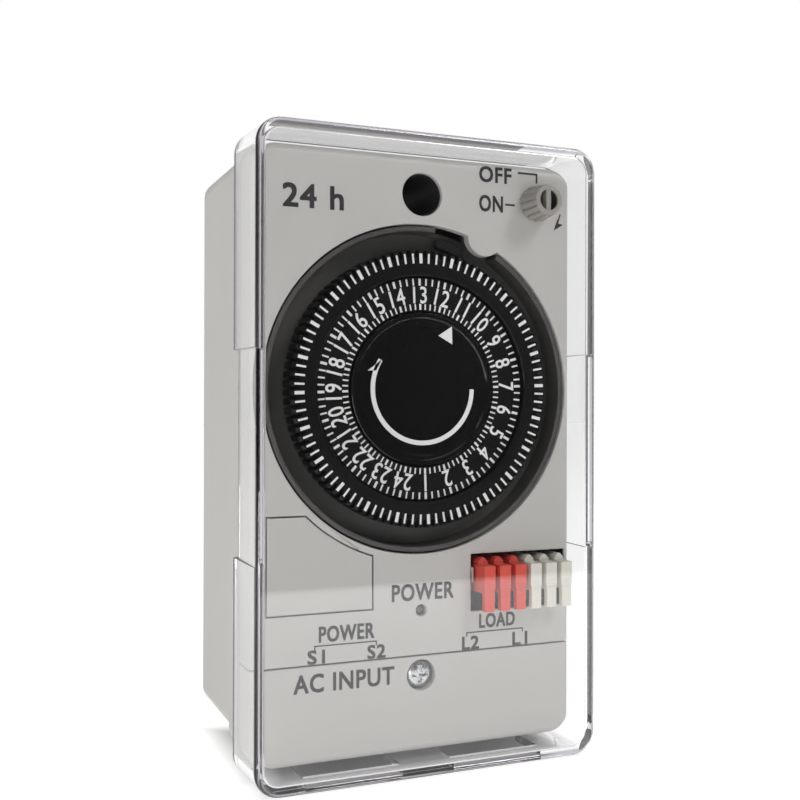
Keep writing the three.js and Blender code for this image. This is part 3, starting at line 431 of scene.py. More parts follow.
# ---------------------------------------------------------------- program dial
# The program dial is a black moulding with 96 slots in its edge, one for each quarter of an hour. Each
# tooth has a hot-stamped white mark, heavier at the hour, and the number ring is snapped in front.
DIAL_SET = math.radians(1.95)    # where the dial stands, counter-clockwise from the front
SLOTS = 96
HOURS = 24
RIM_BEVEL = 0.25
NOTCH_DEEP = 1.5
RING_GAP = 0.3
ring_low, ring_high = span("number_ring")
ring_outer = ring_high.x
disc_low, disc_high = span("centre_disc")
disc_r = disc_high.x
hub_r = span("dial_spindle")[1].x + 0.3


def toothed(root, tip, share=0.55, flank=0.12):
    """A round outline with a tooth at each quarter of an hour."""
    outline = []
    pitch = 2 * math.pi / SLOTS
    for i in range(SLOTS):
        middle = math.pi / 2 + DIAL_SET + i * pitch
        half = share / 2
        for radius, offset in ((root, -half - flank), (tip, -half), (tip, half), (root, half + flank)):
            a = middle + offset * pitch
            outline.append((radius * math.cos(a), DIAL_Z + radius * math.sin(a)))
    return outline


def smooth_ring(radius):
    """A round outline with as many points as the toothed one."""
    return toothed(radius, radius)


def smoothed(mesh):
    """Shades a mesh smooth between its sharp edges and leaves its shape alone."""
    return softened(mesh, 0.01, 1, lambda edge: False)


bed_y = ring_high.y + RING_GAP
bed_r = ring_outer + RING_GAP
front_y, rear_y = dial_low.y, dial_high.y
rim_root = DIAL_R - NOTCH_DEEP
dial_body = loft([
    at(rear_y, smooth_ring(hub_r)),
    at(rear_y, smooth_ring(rim_root - 1)),
    at(rear_y, toothed(rim_root - RIM_BEVEL, DIAL_R - RIM_BEVEL)),
    at(rear_y - RIM_BEVEL, toothed(rim_root, DIAL_R)),
    at(front_y + RIM_BEVEL * 2, toothed(rim_root, DIAL_R)),
    at(front_y, toothed(rim_root - RIM_BEVEL, DIAL_R - RIM_BEVEL * 2)),
    at(front_y, smooth_ring(rim_root - 1)),
    at(front_y, smooth_ring(bed_r + 0.2)),
    at(front_y + 0.2, smooth_ring(bed_r)),
    at(bed_y, smooth_ring(bed_r)),
    at(bed_y, smooth_ring(hub_r)),
], closed=True)
dial_black = plastic(
    "dial_black", (0.004, 0.004, 0.0042), 0.34, shade=0.15, grain=3800, depth=0.008, Specular_IOR_Level=0.3)
piece("program_dial_rim", smoothed(dial_body), dial_black, "dial", "black_plastic", "program_dial")


def turned(profile, sides=128):
    """A ring or disc turned about the dial's axis; the profile is a list of (radius, y) points. It
    closes on the axis where it starts and ends at radius 0, and on itself otherwise."""
    solid_disc = profile[0][0] == 0
    spots = profile[1:-1] if solid_disc else profile
    return loft([at(y, circle(0, DIAL_Z, radius, sides)) for radius, y in spots], closed=not solid_disc)


EDGE = 0.15
ring_inner = disc_r + 0.4
ring_body = turned([
    (ring_outer - EDGE, ring_low.y), (ring_outer, ring_low.y + EDGE), (ring_outer, ring_high.y),
    (ring_inner, ring_high.y), (ring_inner, ring_low.y + EDGE), (ring_inner + EDGE, ring_low.y),
])
piece("number_ring_disc", smoothed(ring_body), dial_black, "dial", "black_plastic", "number_ring")

white_ink = plastic("white_ink", (0.80, 0.80, 0.78), 0.5, shade=0.08, grain=5200, depth=0.01)


def spoke_tree():
    """Flat bars set out round a circle that faces the front, with every nth left out."""
    tree = bpy.data.node_groups.new("spokes_round_dial", "GeometryNodeTree")
    inputs = {
        "Geometry": ("Geometry",), "Int": ("Count", "Skip"),
        "Float": ("Radius", "Length", "Width", "Thick", "Turn"), "Material": ("Material",)}
    for kind, labels in inputs.items():
        for label in labels:
            tree.interface.new_socket(label, in_out="INPUT", socket_type=f"NodeSocket{kind}")
    tree.interface.new_socket("Geometry", in_out="OUTPUT", socket_type="NodeSocketGeometry")
    given = tree.nodes.new("NodeGroupInput").outputs
    end = tree.nodes.new("NodeGroupOutput")
    index = add_node(tree, "GeometryNodeInputIndex").outputs[0]
    step = maths(tree, "DIVIDE", 2 * math.pi, given["Count"])
    angle = maths(tree, "ADD", maths(tree, "MULTIPLY", index, step), given["Turn"])
    spot = add_node(tree, "ShaderNodeCombineXYZ", [
        ("X", maths(tree, "MULTIPLY", maths(tree, "SINE", angle), given["Radius"])),
        ("Z", maths(tree, "MULTIPLY", maths(tree, "COSINE", angle), given["Radius"]))])
    points = add_node(tree, "GeometryNodePoints", [
        ("Count", given["Count"]), ("Position", spot.outputs[0])])
    size = add_node(tree, "ShaderNodeCombineXYZ", [
        ("X", given["Width"]), ("Y", given["Thick"]), ("Z", given["Length"])])
    cube = add_node(tree, "GeometryNodeMeshCube", [("Size", size.outputs[0])])
    heading = add_node(tree, "ShaderNodeCombineXYZ", [("Y", angle)])
    kept = maths(tree, "GREATER_THAN", maths(tree, "MODULO", index, given["Skip"]), 0.5)
    all_kept = maths(tree, "LESS_THAN", given["Skip"], 0.5)
    copies = add_node(tree, "GeometryNodeInstanceOnPoints", [
        ("Points", points.outputs[0]), ("Selection", maths(tree, "MAXIMUM", kept, all_kept)),
        ("Instance", cube.outputs[0]), ("Rotation", heading.outputs[0])])
    real = add_node(tree, "GeometryNodeRealizeInstances", [("Geometry", copies.outputs[0])])
    painted = add_node(tree, "GeometryNodeSetMaterial", [
        ("Geometry", real.outputs[0]), ("Material", given["Material"])])
    tree.links.new(painted.outputs[0], end.inputs[0])
    return tree


SPOKES = spoke_tree()


def from_tree(tree, **values):
    """The plain mesh that a Geometry Nodes tree makes with the given inputs."""
    carrier = placed("nodes", bpy.data.meshes.new("nodes"))
    modifier = carrier.modifiers.new("nodes", "NODES")
    modifier.node_group = tree
    for socket in tree.interface.items_tree:
        if socket.in_out == "INPUT" and socket.name in values:
            modifier[socket.identifier] = values[socket.name]
    return frozen(carrier)


def ticks(count, skip, inner, outer, width, y):
    """White marks from inner to outer radius, on the surface at depth y."""
    mesh = from_tree(
        SPOKES, Count=count, Skip=skip, Radius=(inner + outer) / 2 * MM, Length=(outer - inner) * MM,
        Width=width * MM, Thick=2 * INK * MM, Turn=-DIAL_SET, Material=white_ink)
    mesh.transform(Matrix.Translation(Vector((0, y, DIAL_Z)) * MM))
    return mesh


def joined(*meshes):
    """Several meshes as one."""
    bm = bmesh.new()
    for mesh in meshes:
        bm.from_mesh(mesh)
    made = bpy.data.meshes.new("joined")
    bm.to_mesh(made)
    bm.free()
    return made


INK = 0.025             # thickness of a printed or stamped mark
LAYER = 0.001           # between the copies that make a letter bold
TICK_ROWS = (
    # inner and outer radius, width of a quarter and of an hour mark, depth of the surface
    (25.25, 27.25, 0.4, 0.66, front_y),
    (20.9, 22.3, 0.34, 0.52, ring_low.y),
    (16.0, 17.2, 0.3, 0.45, ring_low.y),
)
rows = []
for inner, outer, thin, bold, depth in TICK_ROWS:
    rows.append(ticks(SLOTS, SLOTS // HOURS, inner, outer, thin, depth))
    rows.append(ticks(HOURS, 0, inner, outer, bold, depth))
piece("dial_marks", joined(*rows), white_ink, "dial", "white_plastic")


def lettering(text, high, wide=None, squeeze=1.0, heavy=0.0):
    """Upright printed text, centred on the origin and facing the front, its height in millimetres.
    Heavy is how much its strokes are widened, by laying four copies over each other."""
    curve = bpy.data.curves.new(text, "FONT")
    curve.body = text
    curve.extrude = 0.5
    curve.space_character = 1.08
    curve.resolution_u = 3
    mesh = frozen(placed(text, curve))
    low = Vector(map(min, zip(*(v.co for v in mesh.vertices))))
    top = Vector(map(max, zip(*(v.co for v in mesh.vertices))))
    middle = (low + top) / 2
    tall = high / (top.y - low.y)
    broad = wide / (top.x - low.x) if wide else tall * squeeze
    mesh.transform(Matrix.Translation((-middle.x, -middle.y, 0)))
    mesh.transform(Matrix.Diagonal((broad, tall, 2 * INK, 1)))
    mesh.transform(Matrix.Rotation(math.pi / 2, 4, "X"))
    shifts = ((1, 1), (1, -1), (-1, 1), (-1, -1)) if heavy else ((0, 0),)
    copies = []
    for layer, (across, up) in enumerate(shifts):
        copy = mesh.copy()
        copy.transform(Matrix.Translation((across * heavy / 2, -layer * LAYER, up * heavy / 2)))
        copy.transform(Matrix.Scale(MM, 4))
        copies.append(copy)
    return joined(*copies)


def on_dial(mesh, radius, angle, y):
    """Moves a mesh from the origin to a radius of the dial and turns it to read outwards."""
    mesh.transform(Matrix.Translation((0, y * MM, radius * MM)))
    mesh.transform(Matrix.Rotation(-angle, 4, "Y"))
    mesh.transform(Matrix.Translation((0, 0, DIAL_Z * MM)))
    return mesh


TOP_HOUR = 13           # the hour that stands at the top
DIGIT_R = 19.0
DIGIT_H = 3.35
numbers = []
for hour in range(1, HOURS + 1):
    angle = DIAL_SET + (hour - TOP_HOUR) * 2 * math.pi / HOURS
    digits = lettering(str(hour), DIGIT_H, squeeze=0.8, heavy=0.09)
    numbers.append(on_dial(digits, DIGIT_R, angle, ring_low.y))
piece("dial_numbers", joined(*numbers), white_ink, "dial", "white_plastic")

# ---------------------------------------------------------------- centre disc
# The disc is polished black plastic, slightly dished, with a raised rim. An arc arrow shows which way
# to turn it by hand, and a white triangle marks the time against the case.
gloss_black = plastic(
    "polished_black", (0.0045, 0.0045, 0.005), 0.1, shade=0.2, grain=120, depth=0.02, Coat_Weight=0.5)
DISH = 0.18
DISC_PROFILE = (
    # radius, and depth below the raised rim
    (0.6, DISH), (6, DISH), (11.8, DISH * 0.8), (13.2, DISH), (13.5, 0.3), (14.2, 0.3), (14.5, 0),
    (disc_r - EDGE, 0), (disc_r, EDGE), (disc_r, disc_high.y - disc_low.y), (0.6, disc_high.y - disc_low.y),
)
disc_body = turned([(0, 0), *((radius, disc_low.y + deep) for radius, deep in DISC_PROFILE), (0, 0)])
piece("centre_disc_cap", smoothed(disc_body), gloss_black, "dial", "gloss_black", "centre_disc")


def band(radius, width, start, stop, steps=72):
    """The outline of a curved stroke round the origin."""
    outer = arc(0, 0, radius + width / 2, start, stop, steps)
    return outer + arc(0, 0, radius - width / 2, stop, start, steps)


def printed(outline, y, x=0.0, z=0.0):
    """A flat mark of an outline, standing proud of the surface at depth y by the ink's thickness."""
    spots = [(px + x, pz + z) for px, pz in outline]
    return loft([at(y - INK, spots), at(y + INK, spots)])


ARROW_R = 10.9
ARROW_WIDE = 0.95
ARROW_STOP = math.radians(-212)         # it starts at the right and runs round below the centre
ARROW_HEAD = [(-8.98, 5.81), (-11.96, 3.58), (-10.2, 3.6)]
TIME_MARK = [(3.34, 10.86), (6.38, 12.82), (6.47, 9.16)]
mark_y = disc_low.y + DISH * 0.83
marks = [printed(outline, mark_y, z=DIAL_Z) for outline in (
    band(ARROW_R, ARROW_WIDE, 0, ARROW_STOP), ARROW_HEAD, TIME_MARK)]
piece("disc_marks", joined(*marks), white_ink, "dial", "white_plastic")

# ---------------------------------------------------------------- trip lever
# The dark glossy lever lies beside the dial's edge. Its hub turns on a steel pin under the round lobe
# of the case, and the plugged-in setters push its blade outwards as they pass.
lever_gloss = plastic(
    "lever_black", (0.02, 0.02, 0.019), 0.16, shade=0.3, grain=240, depth=0.05, Coat_Weight=0.6)
BLADE_IN = 0.8          # from the dial's edge to the blade's inner and outer side
BLADE_OUT = 3.4
PIN_CLEAR = 0.2
lever_low, lever_high = span("trip_lever")
pin_low, pin_high = span("trip_lever_pin")
lobe_x, lobe_z = centre("trip_lever_pin")
blade = []
for i in range(13):
    a = math.radians(67 + i * 14.5 / 12)
    r = DIAL_R + BLADE_IN
    blade.append((r * math.cos(a), DIAL_Z + (r + i * 0.06) * math.sin(a)))
for i in range(13):
    a = math.radians(82.5 - i * 10 / 12)
    r = DIAL_R + BLADE_OUT - abs(i - 6) * 0.05
    blade.append((r * math.cos(a), DIAL_Z + r * math.sin(a)))
lever_mesh = loft([at(y, blade) for y in (lever_low.y, lever_high.y)])
hub = bar(lobe_x, lobe_z, lever_high.x - lobe_x, lever_low.y - 0.01, lever_high.y + 0.01, 48)
pin_bore_r = (pin_high.x - pin_low.x) / 2 + PIN_CLEAR
pin_bore = bar(lobe_x, lobe_z, pin_bore_r, lever_low.y - 1, lever_high.y + 1, 32)
lever_mesh = softened(combined(combined(lever_mesh, "UNION", hub), "DIFFERENCE", pin_bore), 0.3, 3)
piece("trip_lever_blade", lever_mesh, lever_gloss, "trip_arm", "black_plastic", "trip_lever")
piece("trip_lever_axle", refined("trip_lever_pin", 0.1), steel, "case", "steel", "trip_lever_pin")

# ---------------------------------------------------------------- front case
# The front case is a second ABS moulding. The round well, the setter rack, the screw tube's mouth and
# the lamp's hole are moulded through its face, and a round lobe covers the trip lever's pin.
face_low, face_high = span("front_case")
FACE_Y = face_low.y
FACE_PLATE = 2.0
SIDE_ROUND = 0.7
TOP_ROUND = 2.3
JOINT_ROUND = 0.22      # where the front case meets the terminal cover
EDGE_STEPS = (0, 0.03, 0.1, 0.22, 0.4, 0.7, 1.0, 1.5, 2.3)
CORNER = 4.0
WALL = 2.0


def face_outline(half, joint, end, side_in, end_in, joint_in, steps=14):
    """The outline of one front moulding: square at the joint and rounded at its other end."""
    way = math.copysign(1, end - joint)
    width = CORNER - side_in
    height = CORNER - end_in
    outline = [(-half + side_in, joint + way * joint_in), (half - side_in, joint + way * joint_in)]
    for centre_x, start in ((half - CORNER, 0.0), (-half + CORNER, math.pi / 2)):
        for i in range(steps + 1):
            a = start + math.pi / 2 * i / steps
            outline.append((centre_x + width * math.cos(a), end + way * (-CORNER + height * math.sin(a))))
    return outline


def face_moulding(node, joint, end, end_round):
    """The outside of a front moulding, with its rounded front edges, closed at the back."""
    low, high = span(node)
    rings = []

    def inset(radius, depth):
        """How far a quarter-round edge stands in from the side at a depth."""
        return radius - math.sqrt(max(radius ** 2 - max(radius - depth, 0) ** 2, 0))

    for depth in EDGE_STEPS:
        rings.append(at(low.y + depth, face_outline(
            high.x, joint, end,
            inset(SIDE_ROUND, depth), inset(end_round, depth), inset(JOINT_ROUND, depth))))
    rings.append(at(high.y, face_outline(high.x, joint, end, 0, 0, 0)))
    body = loft(rings)
    wall = math.copysign(WALL, end - joint)
    back = face_outline(high.x - WALL, joint + wall, end - wall, 0, 0, 0)
    return combined(body, "DIFFERENCE", loft([at(low.y + FACE_PLATE, back), at(high.y + 1, back)]))


front = face_moulding("front_case", face_low.z, face_high.z, TOP_ROUND)
posts = [centre(f"case_screw_{number}") for number in range(1, 5)]
first_low = span("setter_red_1")[0]
last_high = span("setter_white_3")[1]
RACK_SIDE = 0.4
RACK_LEAD = 1.05
rack_x0, rack_x1 = first_low.x - RACK_LEAD, last_high.x + RACK_SIDE
rack_z0, rack_z1 = first_low.z - 0.35, last_high.z + 0.7
rack_y1 = last_high.y + 0.35
LOBE_R = 4.0
POST_R = 2.6
MOUNT_R = 4.33
KNOB_HOLE = 1.85
LAMP_HOLE = 1.2
LABEL_GAP = 0.3
mount_z = face_high.z - 8.1
knob_x, knob_z = centre("manual_knob")
lamp_z = centre("power_lamp")[1]
label_low, label_high = span("label_plate")
label_r = well_r + 1.35


def label_outline(grow):
    """The label panel: square at three corners, and hollowed by an arc that runs round the well."""
    left, right = label_low.x - grow, label_high.x + grow
    bottom, top = label_low.z - grow, label_high.z + grow
    radius = label_r - grow + LABEL_GAP
    start = math.atan2(-math.sqrt(radius ** 2 - right ** 2), right)
    stop = math.atan2(top - DIAL_Z, -math.sqrt(radius ** 2 - (top - DIAL_Z) ** 2))
    return [(left, top), (left, bottom), (right, bottom), *arc(0, DIAL_Z, radius, start, stop, 32)]


back_y = face_high.y + 1
post_bars = [bar(x, z, POST_R, FACE_Y + 1, face_high.y, 32) for x, z in posts]
rack_shell = block(rack_x0 - 1, rack_x1 + 0.5, FACE_Y + 1, rack_y1 + 1, rack_z0 - 1, rack_z1 + 1)
front = combined(front, "UNION", rack_shell, *post_bars)
lobe = bar(lobe_x, lobe_z, LOBE_R, FACE_Y - 2, FACE_Y + FACE_PLATE, 96)
well = combined(bar(0, DIAL_Z, well_r, FACE_Y - 1, back_y, 288), "DIFFERENCE", lobe)
front = combined(
    combined(front, "DIFFERENCE", well), "DIFFERENCE",
    block(rack_x0, rack_x1, FACE_Y - 1, rack_y1, rack_z0, rack_z1),
    bar(0, mount_z, MOUNT_R, FACE_Y - 1, back_y, 96),
    bar(knob_x, knob_z, KNOB_HOLE, FACE_Y - 1, back_y, 48),
    bar(0, lamp_z, LAMP_HOLE, FACE_Y - 1, FACE_Y + 3, 48),
    bar(lobe_x, lobe_z, 1.35, FACE_Y + 0.8, FACE_Y + 3, 32),
    loft([at(y, label_outline(LABEL_GAP)) for y in (FACE_Y - 1, FACE_Y + 1.2)]),
)
lug_z0, lug_z1 = rack_z1 - 5.9, rack_z1 - 2.8       # a lug at the left keeps the first setter in line
lug = block(rack_x0 - 0.5, rack_x0 + 0.7, FACE_Y + 0.02, FACE_Y + FACE_PLATE, lug_z0, lug_z1)
screw_bores = [bar(x, z, 1.7, FACE_Y + FACE_PLATE, back_y, 24) for x, z in posts]
front = combined(combined(front, "UNION", lug), "DIFFERENCE", *screw_bores)


def on_face(edge):
    """True for an edge that lies in the plane of the face."""
    return all(abs(v.co.y / MM - FACE_Y) < 0.03 for v in edge.verts)


SHADE_TRAY = 0.12             # wall of the black tray put in the rack as painted shade
FIT = 0.02              # a lining to what it lines
# The black tray lining the rack is painted shade: it darkens the rack's inside, which lies in shadow.
rack_shade_tray = combined(
    block(rack_x0 + FIT, rack_x1 - FIT, FACE_Y + 0.5, rack_y1 - FIT, rack_z0 + FIT, rack_z1 - FIT),
    "DIFFERENCE",
    block(rack_x0 + SHADE_TRAY, rack_x1 - SHADE_TRAY, FACE_Y, rack_y1 - 0.2, rack_z0 + SHADE_TRAY, rack_z1 - SHADE_TRAY),
    block(rack_x0 - 1, rack_x0 + 1, FACE_Y, FACE_Y + FACE_PLATE + FIT, lug_z0 - FIT, lug_z1 + FIT))
piece("setter_rack_painted_shade", softened(rack_shade_tray, 0.01, 1), black_plastic, "case", "black_plastic")
face_grey = plastic("face_grey", ABS_GREY, 0.42, shade=0.03, depth=0.006)
piece("front_case_shell", softened(front, 0.2, 2, on_face), face_grey, "case", "grey_abs", "front_case")
piece("label_panel", refined("label_plate", 0.05), face_grey, "case", "grey_abs", "label_plate")

SHADE_SLEEVE = 0.18           # the black sleeve put in the screw tunnel as painted shade
# The black sleeve is painted shade: it darkens the deep screw tunnel, which light hardly reaches.
tunnel_shade_sleeve = combined(
    bar(0, mount_z, MOUNT_R - FIT, FACE_Y + 0.9, -2.3, 64), "DIFFERENCE",
    bar(0, mount_z, MOUNT_R - SHADE_SLEEVE, FACE_Y, 0, 64))
piece("screw_tunnel_painted_shade", softened(tunnel_shade_sleeve, 0.01, 1), black_plastic, "case", "black_plastic")

# ---------------------------------------------------------------- terminal cover
# The lower part of the face is a separate ABS cover over the terminals. One cross-headed steel screw
# in a counterbore holds it down, so it comes off for wiring.
BOTTOM_ROUND = 1.6
ENTRY_X = 15.5          # middle of each cable entry
ENTRY_HALF = 8.0
lid_low, lid_high = span("terminal_cover")
screw_low, screw_high = span("terminal_cover_screw")
screw_z = centre("terminal_cover_screw")[1]
head_r = screw_high.x
lid = face_moulding("terminal_cover", lid_high.z, lid_low.z, BOTTOM_ROUND)
lid = combined(lid, "UNION", bar(0, screw_z, head_r + 0.75, FACE_Y + 1, FACE_Y + 4.4, 64))
entries = [block(
    side * ENTRY_X - ENTRY_HALF, side * ENTRY_X + ENTRY_HALF, FACE_Y + FACE_PLATE + 1.5, lid_high.y + 1,
    lid_low.z - 1, lid_low.z + WALL + 1) for side in (-1, 1)]
lid = combined(
    lid, "DIFFERENCE",
    bar(0, screw_z, head_r + 0.35, FACE_Y - 1, FACE_Y + 2.6, 96),
    bar(0, screw_z, 1.7, FACE_Y, FACE_Y + 6, 32), *entries)
piece("terminal_lid", softened(lid, 0.2, 2, on_face), face_grey, "case", "grey_abs", "terminal_cover")

DOME = (
    # share of the head's radius, and depth from its crown
    (0.145, 0.0), (0.436, 0.04), (0.691, 0.16), (0.873, 0.36), (0.964, 0.6), (1, 0.9), (1, 1.7),
)
RECESS = 0.42           # half the width of the cross, and half its length
RECESS_LONG = 1.75
shank = bar(0, screw_z, 1.4, screw_low.y + 1.5, screw_high.y, 24)
head = loft([at(screw_low.y + deep, circle(0, screw_z, share * head_r, 48)) for share, deep in DOME])
cross = [
    block(-x, x, screw_low.y - 1, screw_low.y + 1, screw_z - z, screw_z + z)
    for x, z in ((RECESS_LONG, RECESS), (RECESS, RECESS_LONG))]
screw_mesh = combined(combined(head, "UNION", shank), "DIFFERENCE", *cross)
piece("cover_screw", softened(screw_mesh, 0.06), steel, "case", "steel", "terminal_cover_screw")

# ---------------------------------------------------------------- printed marks on the face
# Pad-printed in dark grey: what the terminals and the knob's two stops are for. The words are the
# usual ones for such a switch.
dark_ink = plastic("dark_ink", (0.02, 0.02, 0.02), 0.55, shade=0.15, grain=5200, depth=0.01)


def word(text, x0, x1, z0, z1, heavy=0.2):
    """A word that fills a box on the face."""
    mesh = lettering(text, z1 - z0, x1 - x0, heavy=heavy)
    mesh.transform(Matrix.Translation(Vector(((x0 + x1) / 2, FACE_Y, (z0 + z1) / 2)) * MM))
    return mesh


def stroke(x0, z0, x1, z1, width=0.42):
    """A straight printed line."""
    run = Vector((x1 - x0, z1 - z0)).normalized() * width / 2
    ax, az = -run.y, run.x
    return printed([(x0 + ax, z0 + az), (x0 - ax, z0 - az), (x1 - ax, z1 - az), (x1 + ax, z1 + az)], FACE_Y)


def bracket(x0, x1, z, drop=0.8, width=0.26):
    """A line with a short leg down at each end."""
    top = stroke(x0 - width / 2, z, x1 + width / 2, z, width)
    return [top, *(stroke(x, z, x, z - drop, width) for x in (x0, x1))]


arrow_head = printed([(30.6, 46.9), (32.9, 48.3), (31.7, 48.5), (31.6, 49.6)], FACE_Y)
upper_marks = [
    word("24 h", -29.2, -17.0, 47.9, 52.3, 0.3),
    word("OFF", 12.9, 20.3, 56.0, 59.2), word("ON", 12.9, 18.3, 49.9, 53.2),
    stroke(21.9, 58.5, 26.6, 58.5), stroke(26.4, 58.7, 26.4, 56.6), stroke(18.9, 51.6, 21.2, 51.6),
    stroke(32.2, 50.5, 31.6, 48.6, 0.3), arrow_head,
    word("POWER", -6.4, 7.1, -29.8, -26.5),
    word("POWER", -21.7, -10.3, -36.6, -33.6), *bracket(-22.6, -9.8, -37.3),
    word("S1", -24.0, -20.6, -40.7, -38.1), word("S2", -11.6, -7.9, -40.7, -38.1),
    word("LOAD", 13.1, 21.3, -36.5, -33.7), *bracket(10.2, 23.2, -37.3),
    word("L2", 9.2, 12.9, -40.7, -38.1), word("L1", 20.9, 24.3, -40.7, -38.1),
]
piece("face_marks", joined(*upper_marks), dark_ink, "case", "black_plastic")
piece("lid_marks", word("AC INPUT", -26.8, -6.0, -46.2, -42.7), dark_ink, "case", "black_plastic")

# ---------------------------------------------------------------- lamp
# A small neon-red lens shows through the hole in the face. It is dark while the lamp is off.
lens = plastic("lamp_lens", (0.02, 0.006, 0.006), 0.12, grain=500, depth=0.02, Coat_Weight=0.8)
piece("lamp_lens_cap", refined("power_lamp", 0.25, 3), lens, "case", "lamp_red", "power_lamp")

# ---------------------------------------------------------------- setters
# Six spare setters wait in the rack, three red for on and three off-white for off. Each is a thin
# moulding with a pointed head, a finger flap in front and small gripping ribs.
ivory_plastic = plastic(
    "setter_ivory", (0.76, 0.73, 0.65), 0.42, shade=0.05, depth=0.012,
    Subsurface_Weight=0.1, Subsurface_Scale=0.5 * MM)
setter_low, setter_high = span("setter_red_1")
setter_half = (setter_high.x - setter_low.x) / 2
SHOULDER_DROP = 1.4     # tip of the head to the top of the finger flap
FLAP_THICK = 1.4
FLAP_HIGH = 3.6
WAIST_DROP = 4.7        # the flap is narrower below this
WAIST_IN = 0.16
HEAD_BACK = 3.2         # front of the flap to the front of the head
HEAD_IN = 0.2           # the head is narrower on each side by this
TIP_HALF = 0.35
RIB_RISE = 0.11         # the gripping ribs on the flap
RIB_HIGH = 0.34
RIB_PITCH = 0.72
flap_top = setter_high.z - SHOULDER_DROP
waist_z = flap_top - WAIST_DROP


def setter_mesh():
    """One setter with its middle at x = 0."""
    half, front, rear, foot = setter_half, setter_low.y, setter_high.y, setter_low.z
    body = block(-half, half, front, rear, foot, flap_top)
    side, tip = half - HEAD_IN, setter_high.z
    head = [
        (-side, flap_top - 0.2), (side, flap_top - 0.2), (side, flap_top + 0.5),
        (TIP_HALF, tip - 0.1), (0, tip), (-TIP_HALF, tip - 0.1), (-side, flap_top + 0.5),
    ]
    body = combined(body, "UNION", loft([at(y, head) for y in (front + HEAD_BACK, rear)]))
    cuts = [block(-3, 3, front + FLAP_THICK, rear + 1, foot - 1, foot + FLAP_HIGH)]
    for way in (-1, 1):
        edge = sorted((way * (half - WAIST_IN), way * 3))
        cuts.append(block(*edge, front - 1, front + FLAP_THICK + 0.6, foot - 1, waist_z))
    body = softened(combined(body, "DIFFERENCE", *cuts), 0.16)
    ribs = []
    for step in range(3):
        z = waist_z + 0.75 - step * RIB_PITCH
        ribs.append(block(-half + 0.42, half - 0.42, front - RIB_RISE, front + 0.3, z, z + RIB_HIGH))
    ribs.append(block(half - 0.3, half + 0.14, front + 0.5, front + 3.2, waist_z - 0.1, waist_z + 0.8))
    return joined(body, *(softened(rib, 0.1) for rib in ribs))


one_setter = setter_mesh()
for colour, kind, material in (("red", "red", red_plastic), ("white", "ivory", ivory_plastic)):
    for number in (1, 2, 3):
        node = f"setter_{colour}_{number}"
        mesh = one_setter.copy()
        mesh.transform(Matrix.Translation((centre(node)[0] * MM, 0, 0)))
        piece(f"{node}_moulding", mesh, material, node, f"{kind}_plastic", node)

# ---------------------------------------------------------------- manual knob
# The knob is moulded in case grey and pressed on its shaft. Its side is fluted for the fingers, and
# a bar across its bored front shows which way it points.
FLUTES = 14
FLUTE_DEEP = 0.5
KNOB_TIP_R = 3.2
BORE_R = 2.15           # the recess in the knob's front, the bar across it, and the bore for the shaft
BORE_DEEP = 2.2
BAR_HALF = 0.55
BAR_LONG = 2.3
SHAFT_BORE = 1.65
knob_low, knob_high = span("manual_knob")
knob_base_r = (knob_high.x - knob_low.x) / 2
knob_long = knob_high.y - knob_low.y


def fluted(radius, deep, steps=6):
    """A round outline with smooth finger grooves."""
    outline = []
    for i in range(FLUTES * steps * 2):
        a = math.pi * i / (FLUTES * steps)
        r = radius - deep * max(0.0, math.cos(FLUTES * a)) ** 2
        outline.append((knob_x + r * math.cos(a), knob_z + r * math.sin(a)))
    return outline


def knob_radius(y):
    """The knob tapers from its base to its tip."""
    return knob_base_r - (knob_base_r - KNOB_TIP_R) * (knob_high.y - y) / knob_long


KNOB_RINGS = (
    # depth from the tip, depth of the flutes, and how far the edge stands in
    (0, 0.05, 0.36), (0.1, 0.1, 0.16), (0.3, 0.16, 0.05), (0.55, 0.16, 0.02), (0.95, FLUTE_DEEP, 0),
    (knob_long - 0.15, FLUTE_DEEP, 0), (knob_long, FLUTE_DEEP, 0.15),
)
rings = [
    at(knob_low.y + depth, fluted(knob_radius(knob_low.y + depth) - inset, deep))
    for depth, deep, inset in reversed(KNOB_RINGS)]


def knob_bar(half, front, rear):
    """A block across the knob's bore."""
    return block(knob_x - half, knob_x + half, front, rear, knob_z - BAR_LONG, knob_z + BAR_LONG)


floor_y = knob_low.y + BORE_DEEP
knob = combined(loft(rings), "DIFFERENCE", bar(knob_x, knob_z, BORE_R, knob_low.y - 1, floor_y, 64))
knob = combined(knob, "UNION", knob_bar(BAR_HALF, knob_low.y + 0.3, floor_y + 0.2))
knob = combined(knob, "DIFFERENCE", bar(knob_x, knob_z, SHAFT_BORE, knob_low.y + 3, knob_high.y + 1, 32))
knob_grey = plastic("knob_grey", (0.36, 0.345, 0.315), 0.38, shade=0.1, grain=1900, depth=0.02)
piece("manual_knob_cap", softened(knob, 0.06), knob_grey, "knob", "grey_abs", "manual_knob")
lining = combined(
    bar(knob_x, knob_z, BORE_R + 0.01, knob_low.y + 0.6, floor_y, 64), "DIFFERENCE",
    bar(knob_x, knob_z, BORE_R - 0.06, knob_low.y, floor_y - 0.06, 64),
    knob_bar(BAR_HALF + 0.01, knob_low.y, floor_y + 1))
piece("manual_knob_bore", softened(lining, 0.01, 1), black_plastic, "knob", "black_plastic")

# ---------------------------------------------------------------- clear cover
# The cover is one moulding in clear polycarbonate, drafted towards its front and polished. It is
# gripped at the dents in its sides, and two notches in its lower edge let the cables through.
COVER_WALL = 1.65
COVER_DRAFT = 0.55
COVER_CORNER = 5.0
COVER_EDGE = 1.0
INNER_EDGE = 0.5
ROUND_STEPS = 8
GRIP_HALF = 20.25
GRIP_DEEP = 0.6
cover_low, cover_high = span("clear_cover")


